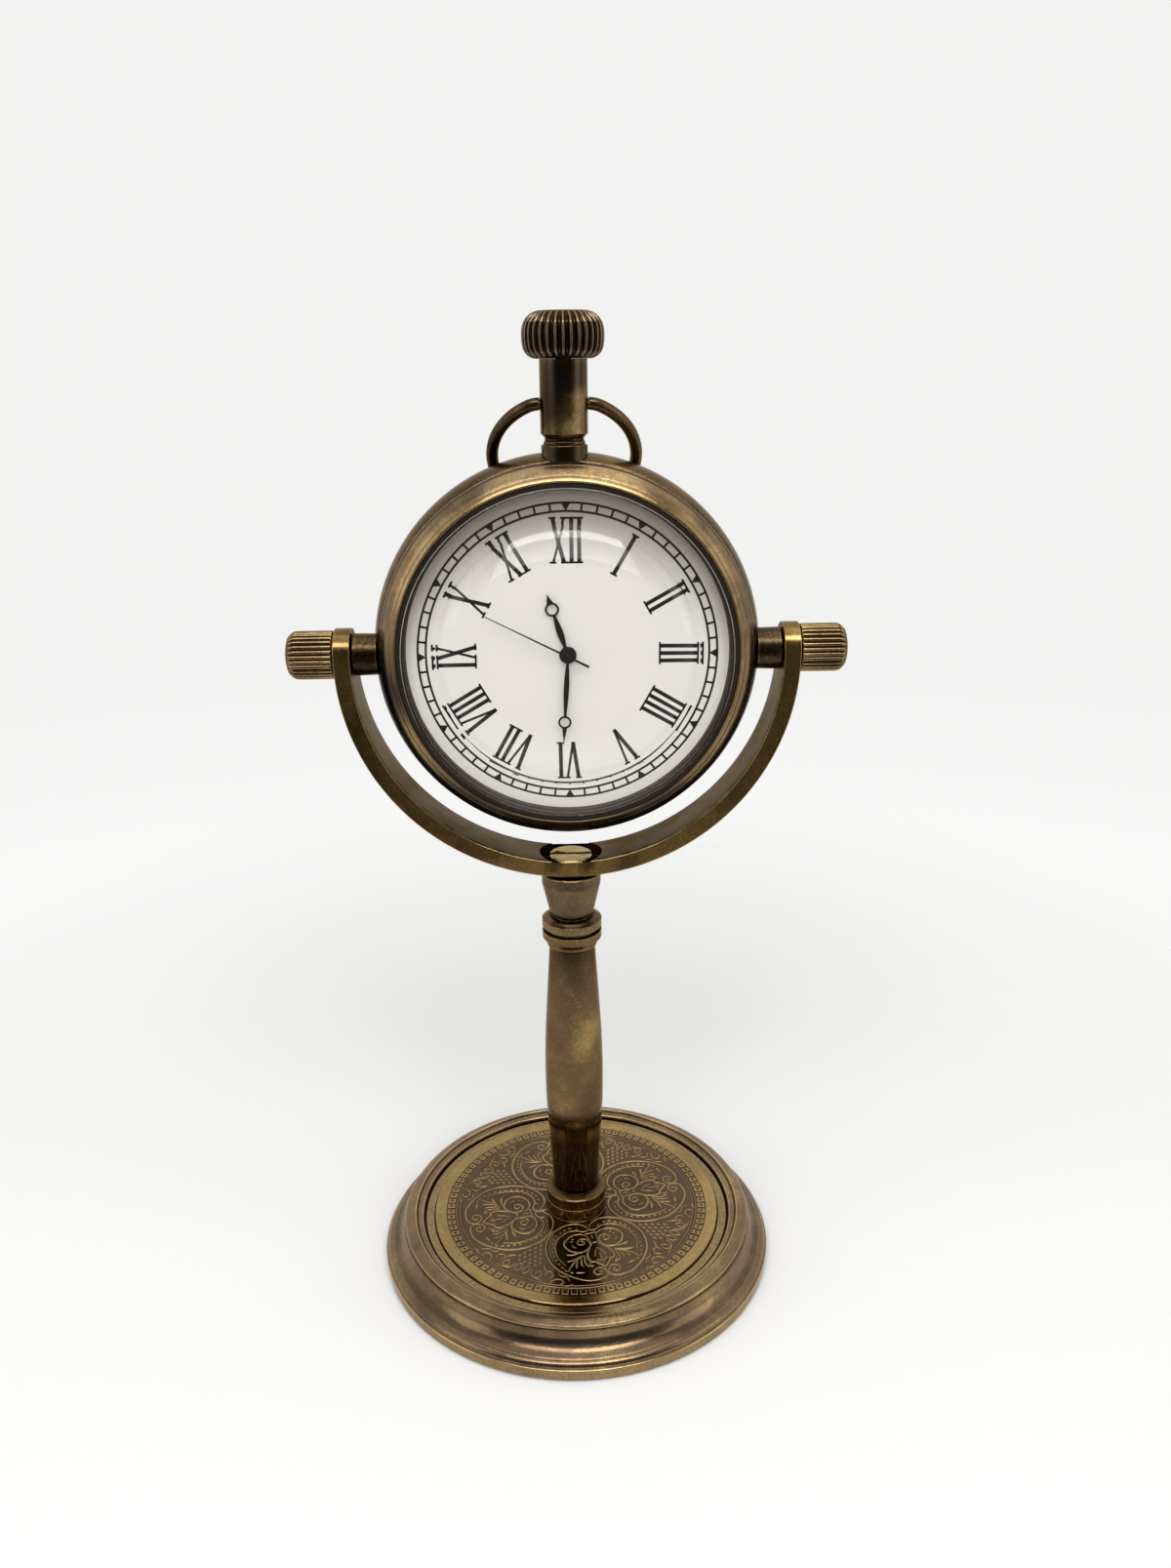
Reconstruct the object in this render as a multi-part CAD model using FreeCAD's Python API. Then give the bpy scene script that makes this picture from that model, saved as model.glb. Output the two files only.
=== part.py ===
import FreeCAD, Part
import math
import os
from FreeCAD import Vector

os.makedirs("parts", exist_ok=True)

# Desk clock shaped like a pocket watch, hung in a half-ring yoke on a turned column.
# Millimetres. The origin is the middle of the felt pad's underside, +Z is up, and
# the dial faces -Y. The watch tilts about a level axis along X through its middle.

# ---------------------------------------------------------------- clearances
running_clearance = 0.05     # radial, a shaft that turns in a hole
seat_clearance = 0.05        # radial, pieces that sit in each other
face_gap = 0.05              # between faces that slide on each other

# ---------------------------------------------------------------- base
felt_thickness = 1.0
felt_radius = 26.4
felt_proud = 0.3             # how far the felt stands below the brass
base_radius = 29.0
base_wall_height = 1.4       # upright edge at the foot of the base
base_height = 6.45           # brass alone, underside to crest
skirt_nose_width = 1.0
skirt_nose_height = 1.0
skirt_nose_bulge = 0.22
skirt_cove_hollow = 0.8
crest_radius = 24.3
crest_slope_width = 1.6      # sloping band outside the crest
crest_slope_drop = 0.5
crest_inner_step = 0.35      # small drop inside the crest
inner_band_width = 1.1       # band between the crest and the groove
inner_band_drop = 0.25
groove_width = 0.2
groove_depth = 0.3
flat_band_drop = 1.0         # flat band round the plate, below the crest

plate_radius = 21.5
plate_thickness = 1.2
plate_drop = 0.65            # plate's face below the crest
plate_edge_chamfer = 0.15
bead_count = 94
bead_size = 0.8
bead_height = 0.08
bead_circle_radius = 19.1
plate_ring_radius = 18.0     # raised ring inside the beads
plate_ring_width = 0.7

# ---------------------------------------------------------------- fixing of the column
stud_radius = 2.0
stud_in_column = 10.0
stud_below_nut = 0.05
nut_across_flats = 7.0
nut_height = 2.0
washer_radius = 4.5
washer_thickness = 0.5
counterbore_radius = 5.2

# ---------------------------------------------------------------- column
collar_radius = 4.5
collar_height = 1.9
flange_radius = 4.45
flange_height = 1.75
flange_top_rise = 0.35
shaft_foot_radius = 3.3
shaft_kink_radius = 4.12
shaft_kink_height = 14.05    # above the top of the flange
shaft_belly_bulge = 0.17
shaft_waist_radius = 3.95
shaft_waist_height = 28.6
shaft_top_radius = 3.22
shaft_height = 40.35         # flange top to the bead
bead_radius = 3.55
column_bead_height = 1.1
ring_radius = 4.17
ring_height = 1.37
ring_chamfer = 0.3
spigot_radius = 1.9
spigot_length = 3.0

# ---------------------------------------------------------------- cup under the yoke
cup_groove_radius = 3.7
cup_groove_height = 0.64
cup_ring_height = 1.02
cup_ring_top_rise = 0.55
cup_ring_top_bulge = 0.12
cup_foot_groove_radius = 2.8
cup_foot_groove_height = 0.2
cup_foot_radius = 3.1
cup_foot_bevel = 0.3
cup_radius = 4.1
cup_cone_height = 4.52
cup_band_height = 1.55
cup_rim_chamfer = 0.15
cup_seat_radius = 3.05       # raised seat that the yoke lies on
cup_seat_height = 0.4
cup_bore_margin = 0.2

# ---------------------------------------------------------------- yoke
yoke_case_space = 3.24       # free space between the band's back edge and the yoke
yoke_thickness = 2.16
yoke_width = 6.9
yoke_arm_rise = 0.55         # straight arms above the half ring's centre

yoke_screw_radius = 1.5
yoke_screw_head_radius = 2.95
yoke_screw_length = 7.5
yoke_screw_sink = 0.1
yoke_sink_radius = 3.3       # round pit that the screw's head lies in
yoke_sink_depth = 0.5
yoke_spot_radius = 4.3       # flat milled round the pit
screw_slot_width = 0.7
screw_slot_depth = 0.6

# ---------------------------------------------------------------- thumb screws
thumb_radius = 3.15
thumb_knurl_count = 28
thumb_knurl_depth = 0.28
thumb_ridge_land = 0.35      # share of a ridge's pitch that is level
thumb_neck_radius = 2.6
thumb_neck_length = 0.65
thumb_length = 5.55          # neck and knurled head, without the dome
thumb_dome_height = 0.85
thumb_dome_radius = 2.35
thumb_shank_radius = 1.5
thumb_shank_reach = 5.2      # from the head's seat to the tip

# ---------------------------------------------------------------- bosses on the case
boss_radius = 2.75
boss_length = 1.7
boss_collar_radius = 2.35
boss_spigot_radius = 2.05

# ---------------------------------------------------------------- watch case
case_front = -4.4            # where the bezel meets the band
case_back = 4.9              # where the back cover meets the band
band_back_radius = 24.6
band_front_step = 0.25       # front edge of the band inside its back edge
band_wall = 1.8              # at the back edge
band_bulge = 0.72

bezel_step = 0.15            # bezel inside the band's front edge
bezel_width = 2.25
bezel_lip_height = 0.95      # bezel's inner lip in front of the case line
bezel_bulge = 0.85
bezel_skirt_depth = 1.5
bezel_shelf_width = 0.8
bezel_shelf_depth = 1.0

crystal_edge = 1.3
crystal_dome = 2.4
crystal_margin = 4.4         # flat ring round the hollow in the crystal's back
crystal_recess_depth = 1.5
gasket_width = 0.35
gasket_height = 1.0

flange_slope_width = 0.2
dial_flange_depth = 1.0
dial_thickness = 0.4
dial_hole_radius = 1.0

cover_rim_inset = 0.1
cover_shoulder_width = 1.8
cover_shoulder_height = 0.8
cover_shoulder_bulge = 0.25
cover_dome = 1.2
cover_thickness = 0.8
cover_lip_depth = 1.1
cover_lip_width = 0.9

# ---------------------------------------------------------------- pendant, crown, bow
pendant_ring_radius = 2.9
pendant_ring_rise = 0.9      # above the top of the band
neck_bead_radius = 2.6
neck_bead_height = 0.35
neck_waist_radius = 2.45
neck_waist_height = 0.4
neck_chamfer = 0.5
neck_radius = 2.95
neck_length = 9.9            # ring to the top of the neck
neck_spigot_radius = 2.1

crown_radius = 5.03
crown_height = 5.45
crown_profile = (            # shares of crown_radius and crown_height, from the bottom up
    (0.74, 0.0),
    (0.89, 0.10),
    (0.975, 0.28),
    (1.0, 0.5),
    (0.985, 0.66),
    (0.93, 0.81),
    (0.83, 0.93),
    (0.665, 1.0),
)
crown_flute_count = 32
crown_ridge_land = 0.4       # share of a ridge's pitch that is level
crown_flute_depth = 0.35
crown_bore_depth = 3.6

bow_wire_radius = 0.78
bow_ring_radius = 9.2
bow_pivot_drop = 5.2         # below the top of the neck
bow_lean = 38.5              # degrees back from straight down
bow_pin_radius = 0.6
bow_pin_depth = 1.15
bow_side_gap = 0.1

# ---------------------------------------------------------------- hands, read from the front
hour_angle = -18.0
minute_angle = 183.5
second_angle = -67.5
hand_thickness = 0.18
hand_spacing = 0.3           # clear space between two hands
hour_length = 8.3
hour_eye_distance = 6.2
hour_eye_radius = 0.88
hour_hub_radius = 1.1
hour_hand_width = 0.56
minute_length = 11.9
minute_eye_distance = 8.8
minute_eye_radius = 0.82
minute_hub_radius = 0.95
minute_hand_width = 0.5
hand_neck_width = 0.24
hand_eye_wall = 0.24
second_length = 12.4
second_tail = 3.0
second_width = 0.15
second_tail_width = 0.3
second_hub_radius = 0.62
second_cap_height = 0.3

# ---------------------------------------------------------------- movement
motion_space = 0.55          # between dial and movement plate
movement_width = 17.6
movement_height = 15.6
movement_corner_radius = 1.5
main_plate_thickness = 0.6
train_space = 2.1
bridge_thickness = 0.3
pillar_x = 7.9
pillar_z = 6.9
pillar_radius = 0.6
movement_screw_radius = 0.3
movement_screw_head_radius = 0.58
movement_screw_head_height = 0.2
movement_screw_length = 1.6

wheel_thickness = 0.15
mesh_gap = 0.03
pivot_radius = 0.12
arbor_radius = 0.2
second_arbor_radius = 0.18
cannon_outer_radius = 0.47
cannon_leaf_radius = 0.6
hour_pipe_outer_radius = 0.72
hour_wheel_radius = 1.92
minute_pinion_radius = 0.48
minute_wheel_radius = 1.8
centre_wheel_radius = 2.27
third_pinion_radius = 0.28
third_wheel_radius = 2.25
second_pinion_radius = 0.3
second_wheel_radius = 2.2
intermediate_pinion_radius = 0.44
intermediate_wheel_radius = 1.8
rotor_pinion_radius = 0.3
rotor_radius = 0.7
rotor_height = 0.9
minute_wheel_direction = 60.0
third_wheel_direction = 120.0
motor_direction = -40.0

battery_radius = 3.4
battery_height = 1.95
battery_x = -4.9
battery_z = -3.6
coil_radius = 0.72
coil_cheek_radius = 0.78
coil_cheek_thickness = 0.35
coil_x = 2.9
coil_z = -6.0
coil_length = 8.0
stator_thickness = 0.25
stator_width = 2.3
stator_foot = 0.7            # half width of the arms over the coil
stator_head = 1.15           # plate beyond the middle of the rotor
stator_hole_radius = 0.95
board_width = 7.6
board_height = 6.0
board_x = 3.2
board_z = 4.1
board_thickness = 0.3

stem_radius = 1.0
stem_bore_clearance = 0.1
stem_tip_radius = 0.45
stem_tip_length = 3.2
stem_reach = 5.0             # tip of the stem above the centre of the movement
stem_slot_clearance = 0.12
pinion_bottom = 5.4          # setting pinion above the centre of the movement
pinion_height = 1.2
pinion_radius = 0.8
movement_ring_bore_radius = 1.2
movement_ring_clearance = 0.1

# ---------------------------------------------------------------- heights and depths that follow
base_bottom_z = felt_proud
felt_seat_z = felt_thickness
crest_z = base_bottom_z + base_height
wall_top_z = base_bottom_z + base_wall_height
plate_top_z = crest_z - plate_drop
plate_seat_z = plate_top_z - plate_thickness
flat_outer_radius = crest_radius - inner_band_width - groove_width
rim_outer_radius = crest_radius + crest_slope_width
collar_top_z = plate_top_z + collar_height
flange_top_z = collar_top_z + flange_height
shaft_bottom_z = flange_top_z + flange_top_rise
bead_bottom_z = flange_top_z + shaft_height
ring_bottom_z = bead_bottom_z + column_bead_height
ring_top_z = ring_bottom_z + ring_height
cup_ring_bottom_z = ring_top_z + cup_groove_height
cup_ring_top_z = cup_ring_bottom_z + cup_ring_height
cup_foot_z = cup_ring_top_z + cup_ring_top_rise + cup_foot_groove_height
cup_band_bottom_z = cup_foot_z + cup_foot_bevel + cup_cone_height
cup_ledge_z = cup_band_bottom_z + cup_band_height
band_front_radius = band_back_radius - band_front_step
band_bore_radius = band_back_radius - band_wall
bezel_radius = band_front_radius - bezel_step
bezel_bore_radius = bezel_radius - bezel_width
bezel_shelf_radius = bezel_bore_radius - bezel_shelf_width
crystal_radius = bezel_bore_radius - gasket_width
crystal_recess_radius = crystal_radius - crystal_margin
flange_inner_radius = bezel_shelf_radius - flange_slope_width
cover_shoulder_radius = band_back_radius - cover_shoulder_width

yoke_inner_radius = band_back_radius + yoke_case_space
yoke_outer_radius = yoke_inner_radius + yoke_thickness
yoke_bottom_z = cup_ledge_z + cup_seat_height
yoke_centre_z = yoke_bottom_z + yoke_outer_radius
pivot_z = yoke_centre_z + yoke_arm_rise
yoke_floor_z = yoke_bottom_z + yoke_thickness
boss_face_drop = boss_radius - yoke_arm_rise
boss_face_x = math.sqrt(yoke_inner_radius ** 2 - boss_face_drop ** 2) - face_gap

shelf_front = case_front + bezel_skirt_depth - bezel_shelf_depth
crystal_back = shelf_front
flange_front = case_front + bezel_skirt_depth
dial_front = flange_front + dial_flange_depth
dial_back = dial_front + dial_thickness
main_plate_front = dial_back + motion_space
main_plate_back = main_plate_front + main_plate_thickness
bridge_front = main_plate_back + train_space
bridge_back = bridge_front + bridge_thickness
cover_lip_front = case_back - cover_lip_depth
hour_hand_y = dial_front - hand_spacing - hand_thickness
minute_hand_y = hour_hand_y - hand_spacing - hand_thickness
second_hand_y = minute_hand_y - hand_spacing - hand_thickness

case_middle = (case_front + case_back) / 2
band_middle_radius = (band_front_radius + band_back_radius) / 2 + band_bulge
pendant_ring_top_z = pivot_z + band_middle_radius + pendant_ring_rise
neck_top_z = pendant_ring_top_z + neck_length
crown_bottom_z = neck_top_z + face_gap
bow_pivot_z = neck_top_z - bow_pivot_drop

X = Vector(1, 0, 0)
Y = Vector(0, 1, 0)
Z = Vector(0, 0, 1)


# ---------------------------------------------------------------- helpers
def place(axis, radius, along):
    """A point of an outline that is turned about the stand's axis, the dial's axis or the tilt axis."""
    if axis == "Z":
        return Vector(radius, 0, along)
    if axis == "Y":
        return Vector(radius, along, pivot_z)
    return Vector(along, 0, pivot_z + radius)


def outline_edges(axis, points):
    """Edges of a closed outline. A third number bulges the edge that ends there, left of its way."""
    edges = []
    count = len(points)
    for index in range(count):
        first = points[index]
        last = points[(index + 1) % count]
        start = place(axis, first[0], first[1])
        end = place(axis, last[0], last[1])
        if len(last) == 3:
            run = math.hypot(last[0] - first[0], last[1] - first[1])
            middle_radius = (first[0] + last[0]) / 2 - (last[1] - first[1]) / run * last[2]
            middle_along = (first[1] + last[1]) / 2 + (last[0] - first[0]) / run * last[2]
            middle = place(axis, middle_radius, middle_along)
            edges.append(Part.Arc(start, middle, end).toShape())
        else:
            edges.append(Part.LineSegment(start, end).toShape())
    return edges


def turned(axis, *points):
    """A solid turned from an outline of (radius, distance along the axis) points."""
    face = Part.Face(Part.Wire(outline_edges(axis, points)))
    centre, direction = {
        "Z": (Vector(0, 0, 0), Z),
        "Y": (Vector(0, 0, pivot_z), Y),
        "X": (Vector(0, 0, pivot_z), X),
    }[axis]
    return face.revolve(centre, direction, 360)


def rod(radius, start, end):
    """A round bar between two points."""
    return Part.makeCylinder(radius, start.distanceToPoint(end), start, end - start)


def along_y(radius, front, back, x=0.0, z=0.0):
    """A round bar along the dial's axis, x and z counted from the middle of the dial."""
    return rod(radius, Vector(x, front, pivot_z + z), Vector(x, back, pivot_z + z))


def wheel_tube(outer, inner, front, back, x=0.0, z=0.0):
    """A ring along the dial's axis."""
    return along_y(outer, front, back, x, z).cut(along_y(inner, front, back, x, z))


def flat_piece(points, front, back):
    """A plate in the plane of the dial, from a polygon of x and z counted from the dial's middle."""
    corners = [Vector(x, front, pivot_z + z) for x, z in points]
    face = Part.Face(Part.makePolygon(corners + corners[:1]))
    return face.extrude(Vector(0, back - front, 0))


def box_y(width, height, front, back, x=0.0, z=0.0):
    """A block whose middle is at x, z from the dial's middle."""
    corner = Vector(x - width / 2, front, pivot_z + z - height / 2)
    return Part.makeBox(width, back - front, height, corner)


def polar(distance, degrees):
    """x and z at a distance from the middle of the dial, counted up from +X."""
    angle = math.radians(degrees)
    return distance * math.cos(angle), distance * math.sin(angle)


def toothed_outline(count, outer, inner, land):
    """Points of a ring of straight ridges: each pitch has a land on top and a V between."""
    points = []
    pitch = 2 * math.pi / count
    for index in range(count):
        middle = index * pitch
        points.append((outer, middle - land * pitch / 2))
        points.append((outer, middle + land * pitch / 2))
        points.append((inner, middle + pitch / 2))
    return [(radius * math.cos(angle), radius * math.sin(angle)) for radius, angle in points]


def clean(shape):
    """One shape with the seams between joined faces taken out."""
    return shape.removeSplitter()


# ---------------------------------------------------------------- stand
def make_felt_pad():
    return turned("Z", (0, 0), (felt_radius, 0), (felt_radius, felt_thickness), (0, felt_thickness))


def make_base_body():
    flat_z = crest_z - flat_band_drop
    band_top_z = crest_z - crest_inner_step
    nose_radius = base_radius - skirt_nose_width
    nose_z = wall_top_z + skirt_nose_height
    plate_bore = plate_radius + seat_clearance
    body = turned(
        "Z",
        (0, felt_seat_z),
        (felt_radius + seat_clearance, felt_seat_z),
        (felt_radius + seat_clearance, base_bottom_z),
        (base_radius, base_bottom_z),
        (base_radius, wall_top_z),
        (nose_radius, nose_z, -skirt_nose_bulge),
        (rim_outer_radius, crest_z - crest_slope_drop, skirt_cove_hollow),
        (crest_radius, crest_z),
        (crest_radius, band_top_z),
        (flat_outer_radius + groove_width, band_top_z - inner_band_drop),
        (flat_outer_radius + groove_width, flat_z - groove_depth),
        (flat_outer_radius, flat_z - groove_depth),
        (flat_outer_radius, flat_z),
        (plate_bore, flat_z),
        (plate_bore, plate_seat_z),
        (0, plate_seat_z),
    )
    counterbore_top = felt_seat_z + stud_below_nut + nut_height + washer_thickness
    hole = rod(stud_radius + seat_clearance, Vector(0, 0, 0), Vector(0, 0, crest_z))
    counterbore = rod(counterbore_radius, Vector(0, 0, 0), Vector(0, 0, counterbore_top))
    return body.cut(hole.fuse(counterbore))


def make_base_plate():
    low_z = plate_top_z - bead_height
    bead_field_out = bead_circle_radius + bead_size * 0.75
    bead_field_in = bead_circle_radius - bead_size * 0.75
    ring_in = plate_ring_radius - plate_ring_width / 2
    ring_out = plate_ring_radius + plate_ring_width / 2
    bore = stud_radius + seat_clearance
    plate = turned(
        "Z",
        (bore, plate_seat_z),
        (plate_radius, plate_seat_z),
        (plate_radius, plate_top_z - plate_edge_chamfer),
        (plate_radius - plate_edge_chamfer, plate_top_z),
        (bead_field_out, plate_top_z),
        (bead_field_out, low_z),
        (bead_field_in, low_z),
        (ring_out, plate_top_z),
        (ring_in, plate_top_z),
        (ring_in, low_z),
        (collar_radius, low_z),
        (collar_radius, plate_top_z),
        (bore, plate_top_z),
    )
    beads = []
    for index in range(bead_count):
        bead = Part.makeBox(
            bead_size,
            bead_size,
            2 * bead_height,
            Vector(bead_circle_radius - bead_size / 2, -bead_size / 2, low_z - bead_height),
        )
        bead.rotate(Vector(0, 0, 0), Z, index * 360.0 / bead_count)
        beads.append(bead)
    return plate.fuse(beads)


def make_foot_collar():
    bore = stud_radius + seat_clearance
    edge = plate_edge_chamfer
    return turned(
        "Z",
        (bore, plate_top_z),
        (collar_radius, plate_top_z),
        (collar_radius, collar_top_z - edge),
        (collar_radius - edge, collar_top_z),
        (bore, collar_top_z),
    )


def make_column():
    stud_top = collar_top_z + stud_in_column
    bore = stud_radius + seat_clearance
    spigot_top = ring_top_z + spigot_length
    return turned(
        "Z",
        (bore, collar_top_z),
        (flange_radius, collar_top_z),
        (flange_radius, flange_top_z),
        (shaft_foot_radius, shaft_bottom_z),
        (shaft_kink_radius, flange_top_z + shaft_kink_height),
        (shaft_waist_radius, flange_top_z + shaft_waist_height, -shaft_belly_bulge),
        (shaft_top_radius, bead_bottom_z),
        (bead_radius, bead_bottom_z + column_bead_height / 2),
        (shaft_top_radius, ring_bottom_z),
        (ring_radius - ring_chamfer, ring_bottom_z),
        (ring_radius, ring_bottom_z + ring_chamfer),
        (ring_radius, ring_top_z),
        (spigot_radius, ring_top_z),
        (spigot_radius, spigot_top),
        (0, spigot_top),
        (0, stud_top + seat_clearance),
        (bore, stud_top + seat_clearance),
    )


def make_base_stud():
    bottom = felt_seat_z + stud_below_nut
    top = collar_top_z + stud_in_column
    return rod(stud_radius, Vector(0, 0, bottom), Vector(0, 0, top))


def make_base_washer():
    bottom = felt_seat_z + stud_below_nut + nut_height
    top = bottom + washer_thickness
    washer = rod(washer_radius, Vector(0, 0, bottom), Vector(0, 0, top))
    return washer.cut(rod(stud_radius + seat_clearance, Vector(0, 0, bottom), Vector(0, 0, top)))


def make_base_nut():
    bottom = felt_seat_z + stud_below_nut
    corner = nut_across_flats / math.sqrt(3)
    corners = []
    for index in range(7):
        angle = math.radians(60 * index)
        corners.append(Vector(corner * math.cos(angle), corner * math.sin(angle), bottom))
    nut = Part.Face(Part.makePolygon(corners)).extrude(Vector(0, 0, nut_height))
    return nut.cut(rod(stud_radius, Vector(0, 0, bottom), Vector(0, 0, bottom + nut_height)))


def make_yoke_cup():
    spigot_bore = spigot_radius + seat_clearance
    spigot_bore_top = ring_top_z + spigot_length + cup_bore_margin
    seat_top = yoke_bottom_z + cup_seat_radius ** 2 / yoke_outer_radius
    cup = turned(
        "Z",
        (spigot_bore, ring_top_z),
        (cup_groove_radius, ring_top_z),
        (cup_groove_radius, cup_ring_bottom_z),
        (ring_radius, cup_ring_bottom_z),
        (ring_radius, cup_ring_top_z),
        (cup_foot_groove_radius, cup_ring_top_z + cup_ring_top_rise, -cup_ring_top_bulge),
        (cup_foot_groove_radius, cup_foot_z),
        (cup_foot_radius, cup_foot_z + cup_foot_bevel),
        (cup_radius, cup_band_bottom_z),
        (cup_radius, cup_ledge_z - cup_rim_chamfer),
        (cup_radius - cup_rim_chamfer, cup_ledge_z),
        (cup_seat_radius, cup_ledge_z),
        (cup_seat_radius, seat_top),
        (0, seat_top),
        (0, spigot_bore_top),
        (spigot_bore, spigot_bore_top),
    )
    screw_tip_z = yoke_floor_z - yoke_screw_sink - yoke_screw_length
    screw_hole = rod(
        yoke_screw_radius + seat_clearance,
        Vector(0, 0, screw_tip_z - cup_bore_margin),
        Vector(0, 0, seat_top),
    )
    saddle = Part.makeCylinder(
        yoke_outer_radius, 4 * cup_radius, Vector(0, -2 * cup_radius, yoke_centre_z), Y
    )
    return cup.cut(screw_hole.fuse(saddle))


def make_yoke():
    half = yoke_width / 2
    outer = Part.makeCylinder(yoke_outer_radius, yoke_width, Vector(0, -half, yoke_centre_z), Y)
    inner = Part.makeCylinder(yoke_inner_radius, yoke_width, Vector(0, -half, yoke_centre_z), Y)
    above = Part.makeBox(
        4 * yoke_outer_radius,
        2 * yoke_width,
        2 * yoke_outer_radius,
        Vector(-2 * yoke_outer_radius, -yoke_width, yoke_centre_z),
    )
    yoke = outer.cut(inner).cut(above)
    for side in (-1, 1):
        near = side * yoke_inner_radius
        far = side * yoke_outer_radius
        corner = Vector(min(near, far), -half, yoke_centre_z)
        arm = Part.makeBox(yoke_thickness, yoke_width, yoke_arm_rise, corner)
        eye = rod(half, Vector(near, 0, pivot_z), Vector(far, 0, pivot_z))
        yoke = yoke.fuse(arm).fuse(eye)
    yoke = clean(yoke)
    reach = 2 * yoke_outer_radius
    eye_hole = rod(
        thumb_shank_radius + running_clearance, Vector(-reach, 0, pivot_z), Vector(reach, 0, pivot_z)
    )
    shank_hole = rod(
        yoke_screw_radius + seat_clearance,
        Vector(0, 0, yoke_bottom_z - 1),
        Vector(0, 0, yoke_floor_z),
    )
    top = Vector(0, 0, yoke_floor_z + yoke_thickness)
    pit = rod(yoke_sink_radius, Vector(0, 0, yoke_floor_z - yoke_sink_depth), top)
    spot_face = rod(yoke_spot_radius, Vector(0, 0, yoke_floor_z), top)
    yoke = yoke.cut(eye_hole).cut(shank_hole).cut(pit).cut(spot_face)
    return yoke.cut(yoke_screw_head(seat_clearance))


def yoke_screw_head(clearance):
    """The cone under the head of the yoke's screw, or the countersink for it."""
    top_z = yoke_floor_z - yoke_screw_sink
    head_height = yoke_screw_head_radius - yoke_screw_radius
    return turned(
        "Z",
        (0, top_z - head_height - clearance),
        (yoke_screw_radius, top_z - head_height - clearance),
        (yoke_screw_head_radius + clearance, top_z),
        (0, top_z),
    )


def make_yoke_screw():
    top_z = yoke_floor_z - yoke_screw_sink
    shank = rod(yoke_screw_radius, Vector(0, 0, top_z - yoke_screw_length), Vector(0, 0, top_z))
    head = clean(shank.fuse(yoke_screw_head(0)))
    slot = Part.makeBox(
        3 * yoke_screw_head_radius,
        screw_slot_width,
        2 * screw_slot_depth,
        Vector(-1.5 * yoke_screw_head_radius, -screw_slot_width / 2, top_z - screw_slot_depth),
    )
    return head.cut(slot)


# ---------------------------------------------------------------- thumb screws and bosses
def make_thumb_screw(side):
    seat = yoke_outer_radius + face_gap
    knurl_start = seat + thumb_neck_length
    knurl_end = seat + thumb_length
    body = turned(
        "X",
        (0, side * (seat - thumb_shank_reach)),
        (thumb_shank_radius, side * (seat - thumb_shank_reach)),
        (thumb_shank_radius, side * seat),
        (thumb_neck_radius, side * seat),
        (thumb_neck_radius, side * knurl_start),
        (thumb_radius, side * knurl_start),
        (thumb_radius, side * (knurl_end - 0.2)),
        (thumb_dome_radius, side * (knurl_end + thumb_dome_height * 0.6)),
        (0, side * (knurl_end + thumb_dome_height), -side * thumb_dome_height * 0.1),
    )
    knurl_floor = thumb_radius - thumb_knurl_depth
    ridges = toothed_outline(thumb_knurl_count, thumb_radius, knurl_floor, thumb_ridge_land)
    start_x = side * (seat - thumb_shank_reach)
    corners = [Vector(start_x, y, pivot_z + z) for y, z in ridges]
    knurled = Part.Face(Part.makePolygon(corners + corners[:1]))
    knurled = knurled.extrude(Vector(side * (thumb_shank_reach + thumb_length + thumb_dome_height), 0, 0))
    return body.common(knurled)


def band_outside():
    """The band's outer form, solid to the middle."""
    return turned(
        "Y",
        (0, case_front),
        (band_front_radius, case_front),
        (band_back_radius, case_back, -band_bulge),
        (0, case_back),
    )


def make_case_boss(side):
    inside = band_bore_radius + seat_clearance
    outside = boss_face_x
    shoulder = outside - boss_length
    collar = rod(
        boss_collar_radius,
        Vector(side * inside, 0, pivot_z),
        Vector(side * shoulder, 0, pivot_z),
    ).cut(band_outside())
    head = rod(boss_radius, Vector(side * shoulder, 0, pivot_z), Vector(side * outside, 0, pivot_z))
    spigot = rod(
        boss_spigot_radius, Vector(side * inside, 0, pivot_z), Vector(side * shoulder, 0, pivot_z)
    )
    bore = rod(
        thumb_shank_radius + running_clearance,
        Vector(side * (inside - 1), 0, pivot_z),
        Vector(side * (outside + 1), 0, pivot_z),
    )
    return clean(collar.fuse(head).fuse(spigot).cut(bore))


# ---------------------------------------------------------------- watch case
def make_case_band():
    band = band_outside().cut(along_y(band_bore_radius, case_front - 1, case_back + 1))
    reach = 2 * band_front_radius
    side_holes = rod(boss_spigot_radius, Vector(-reach, 0, pivot_z), Vector(reach, 0, pivot_z))
    top_hole = rod(neck_spigot_radius, Vector(0, 0, pivot_z), Vector(0, 0, pivot_z + reach))
    return band.cut(side_holes).cut(top_hole)


def make_bezel():
    skirt = band_bore_radius - seat_clearance
    lip_front = case_front - bezel_lip_height
    return turned(
        "Y",
        (skirt, flange_front),
        (skirt, case_front),
        (bezel_radius, case_front),
        (bezel_bore_radius, lip_front, bezel_bulge),
        (bezel_bore_radius, shelf_front),
        (bezel_shelf_radius, shelf_front),
        (bezel_shelf_radius, flange_front),
    )


def make_crystal():
    edge_front = crystal_back - crystal_edge
    apex = edge_front - crystal_dome
    recess = crystal_back - crystal_recess_depth
    outer_bulge = arc_rise(crystal_radius, crystal_dome)
    inner_bulge = arc_rise(crystal_recess_radius, crystal_recess_depth)
    return turned(
        "Y",
        (0, recess),
        (crystal_recess_radius, crystal_back, -inner_bulge),
        (crystal_radius, crystal_back),
        (crystal_radius, edge_front),
        (0, apex, outer_bulge),
    )


def arc_rise(half_width, height):
    """Bulge of one half of a spherical cap's outline, over its own chord."""
    sphere = (half_width ** 2 + height ** 2) / (2 * height)
    half_chord = math.hypot(half_width, height) / 2
    return sphere - math.sqrt(sphere ** 2 - half_chord ** 2)


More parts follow.
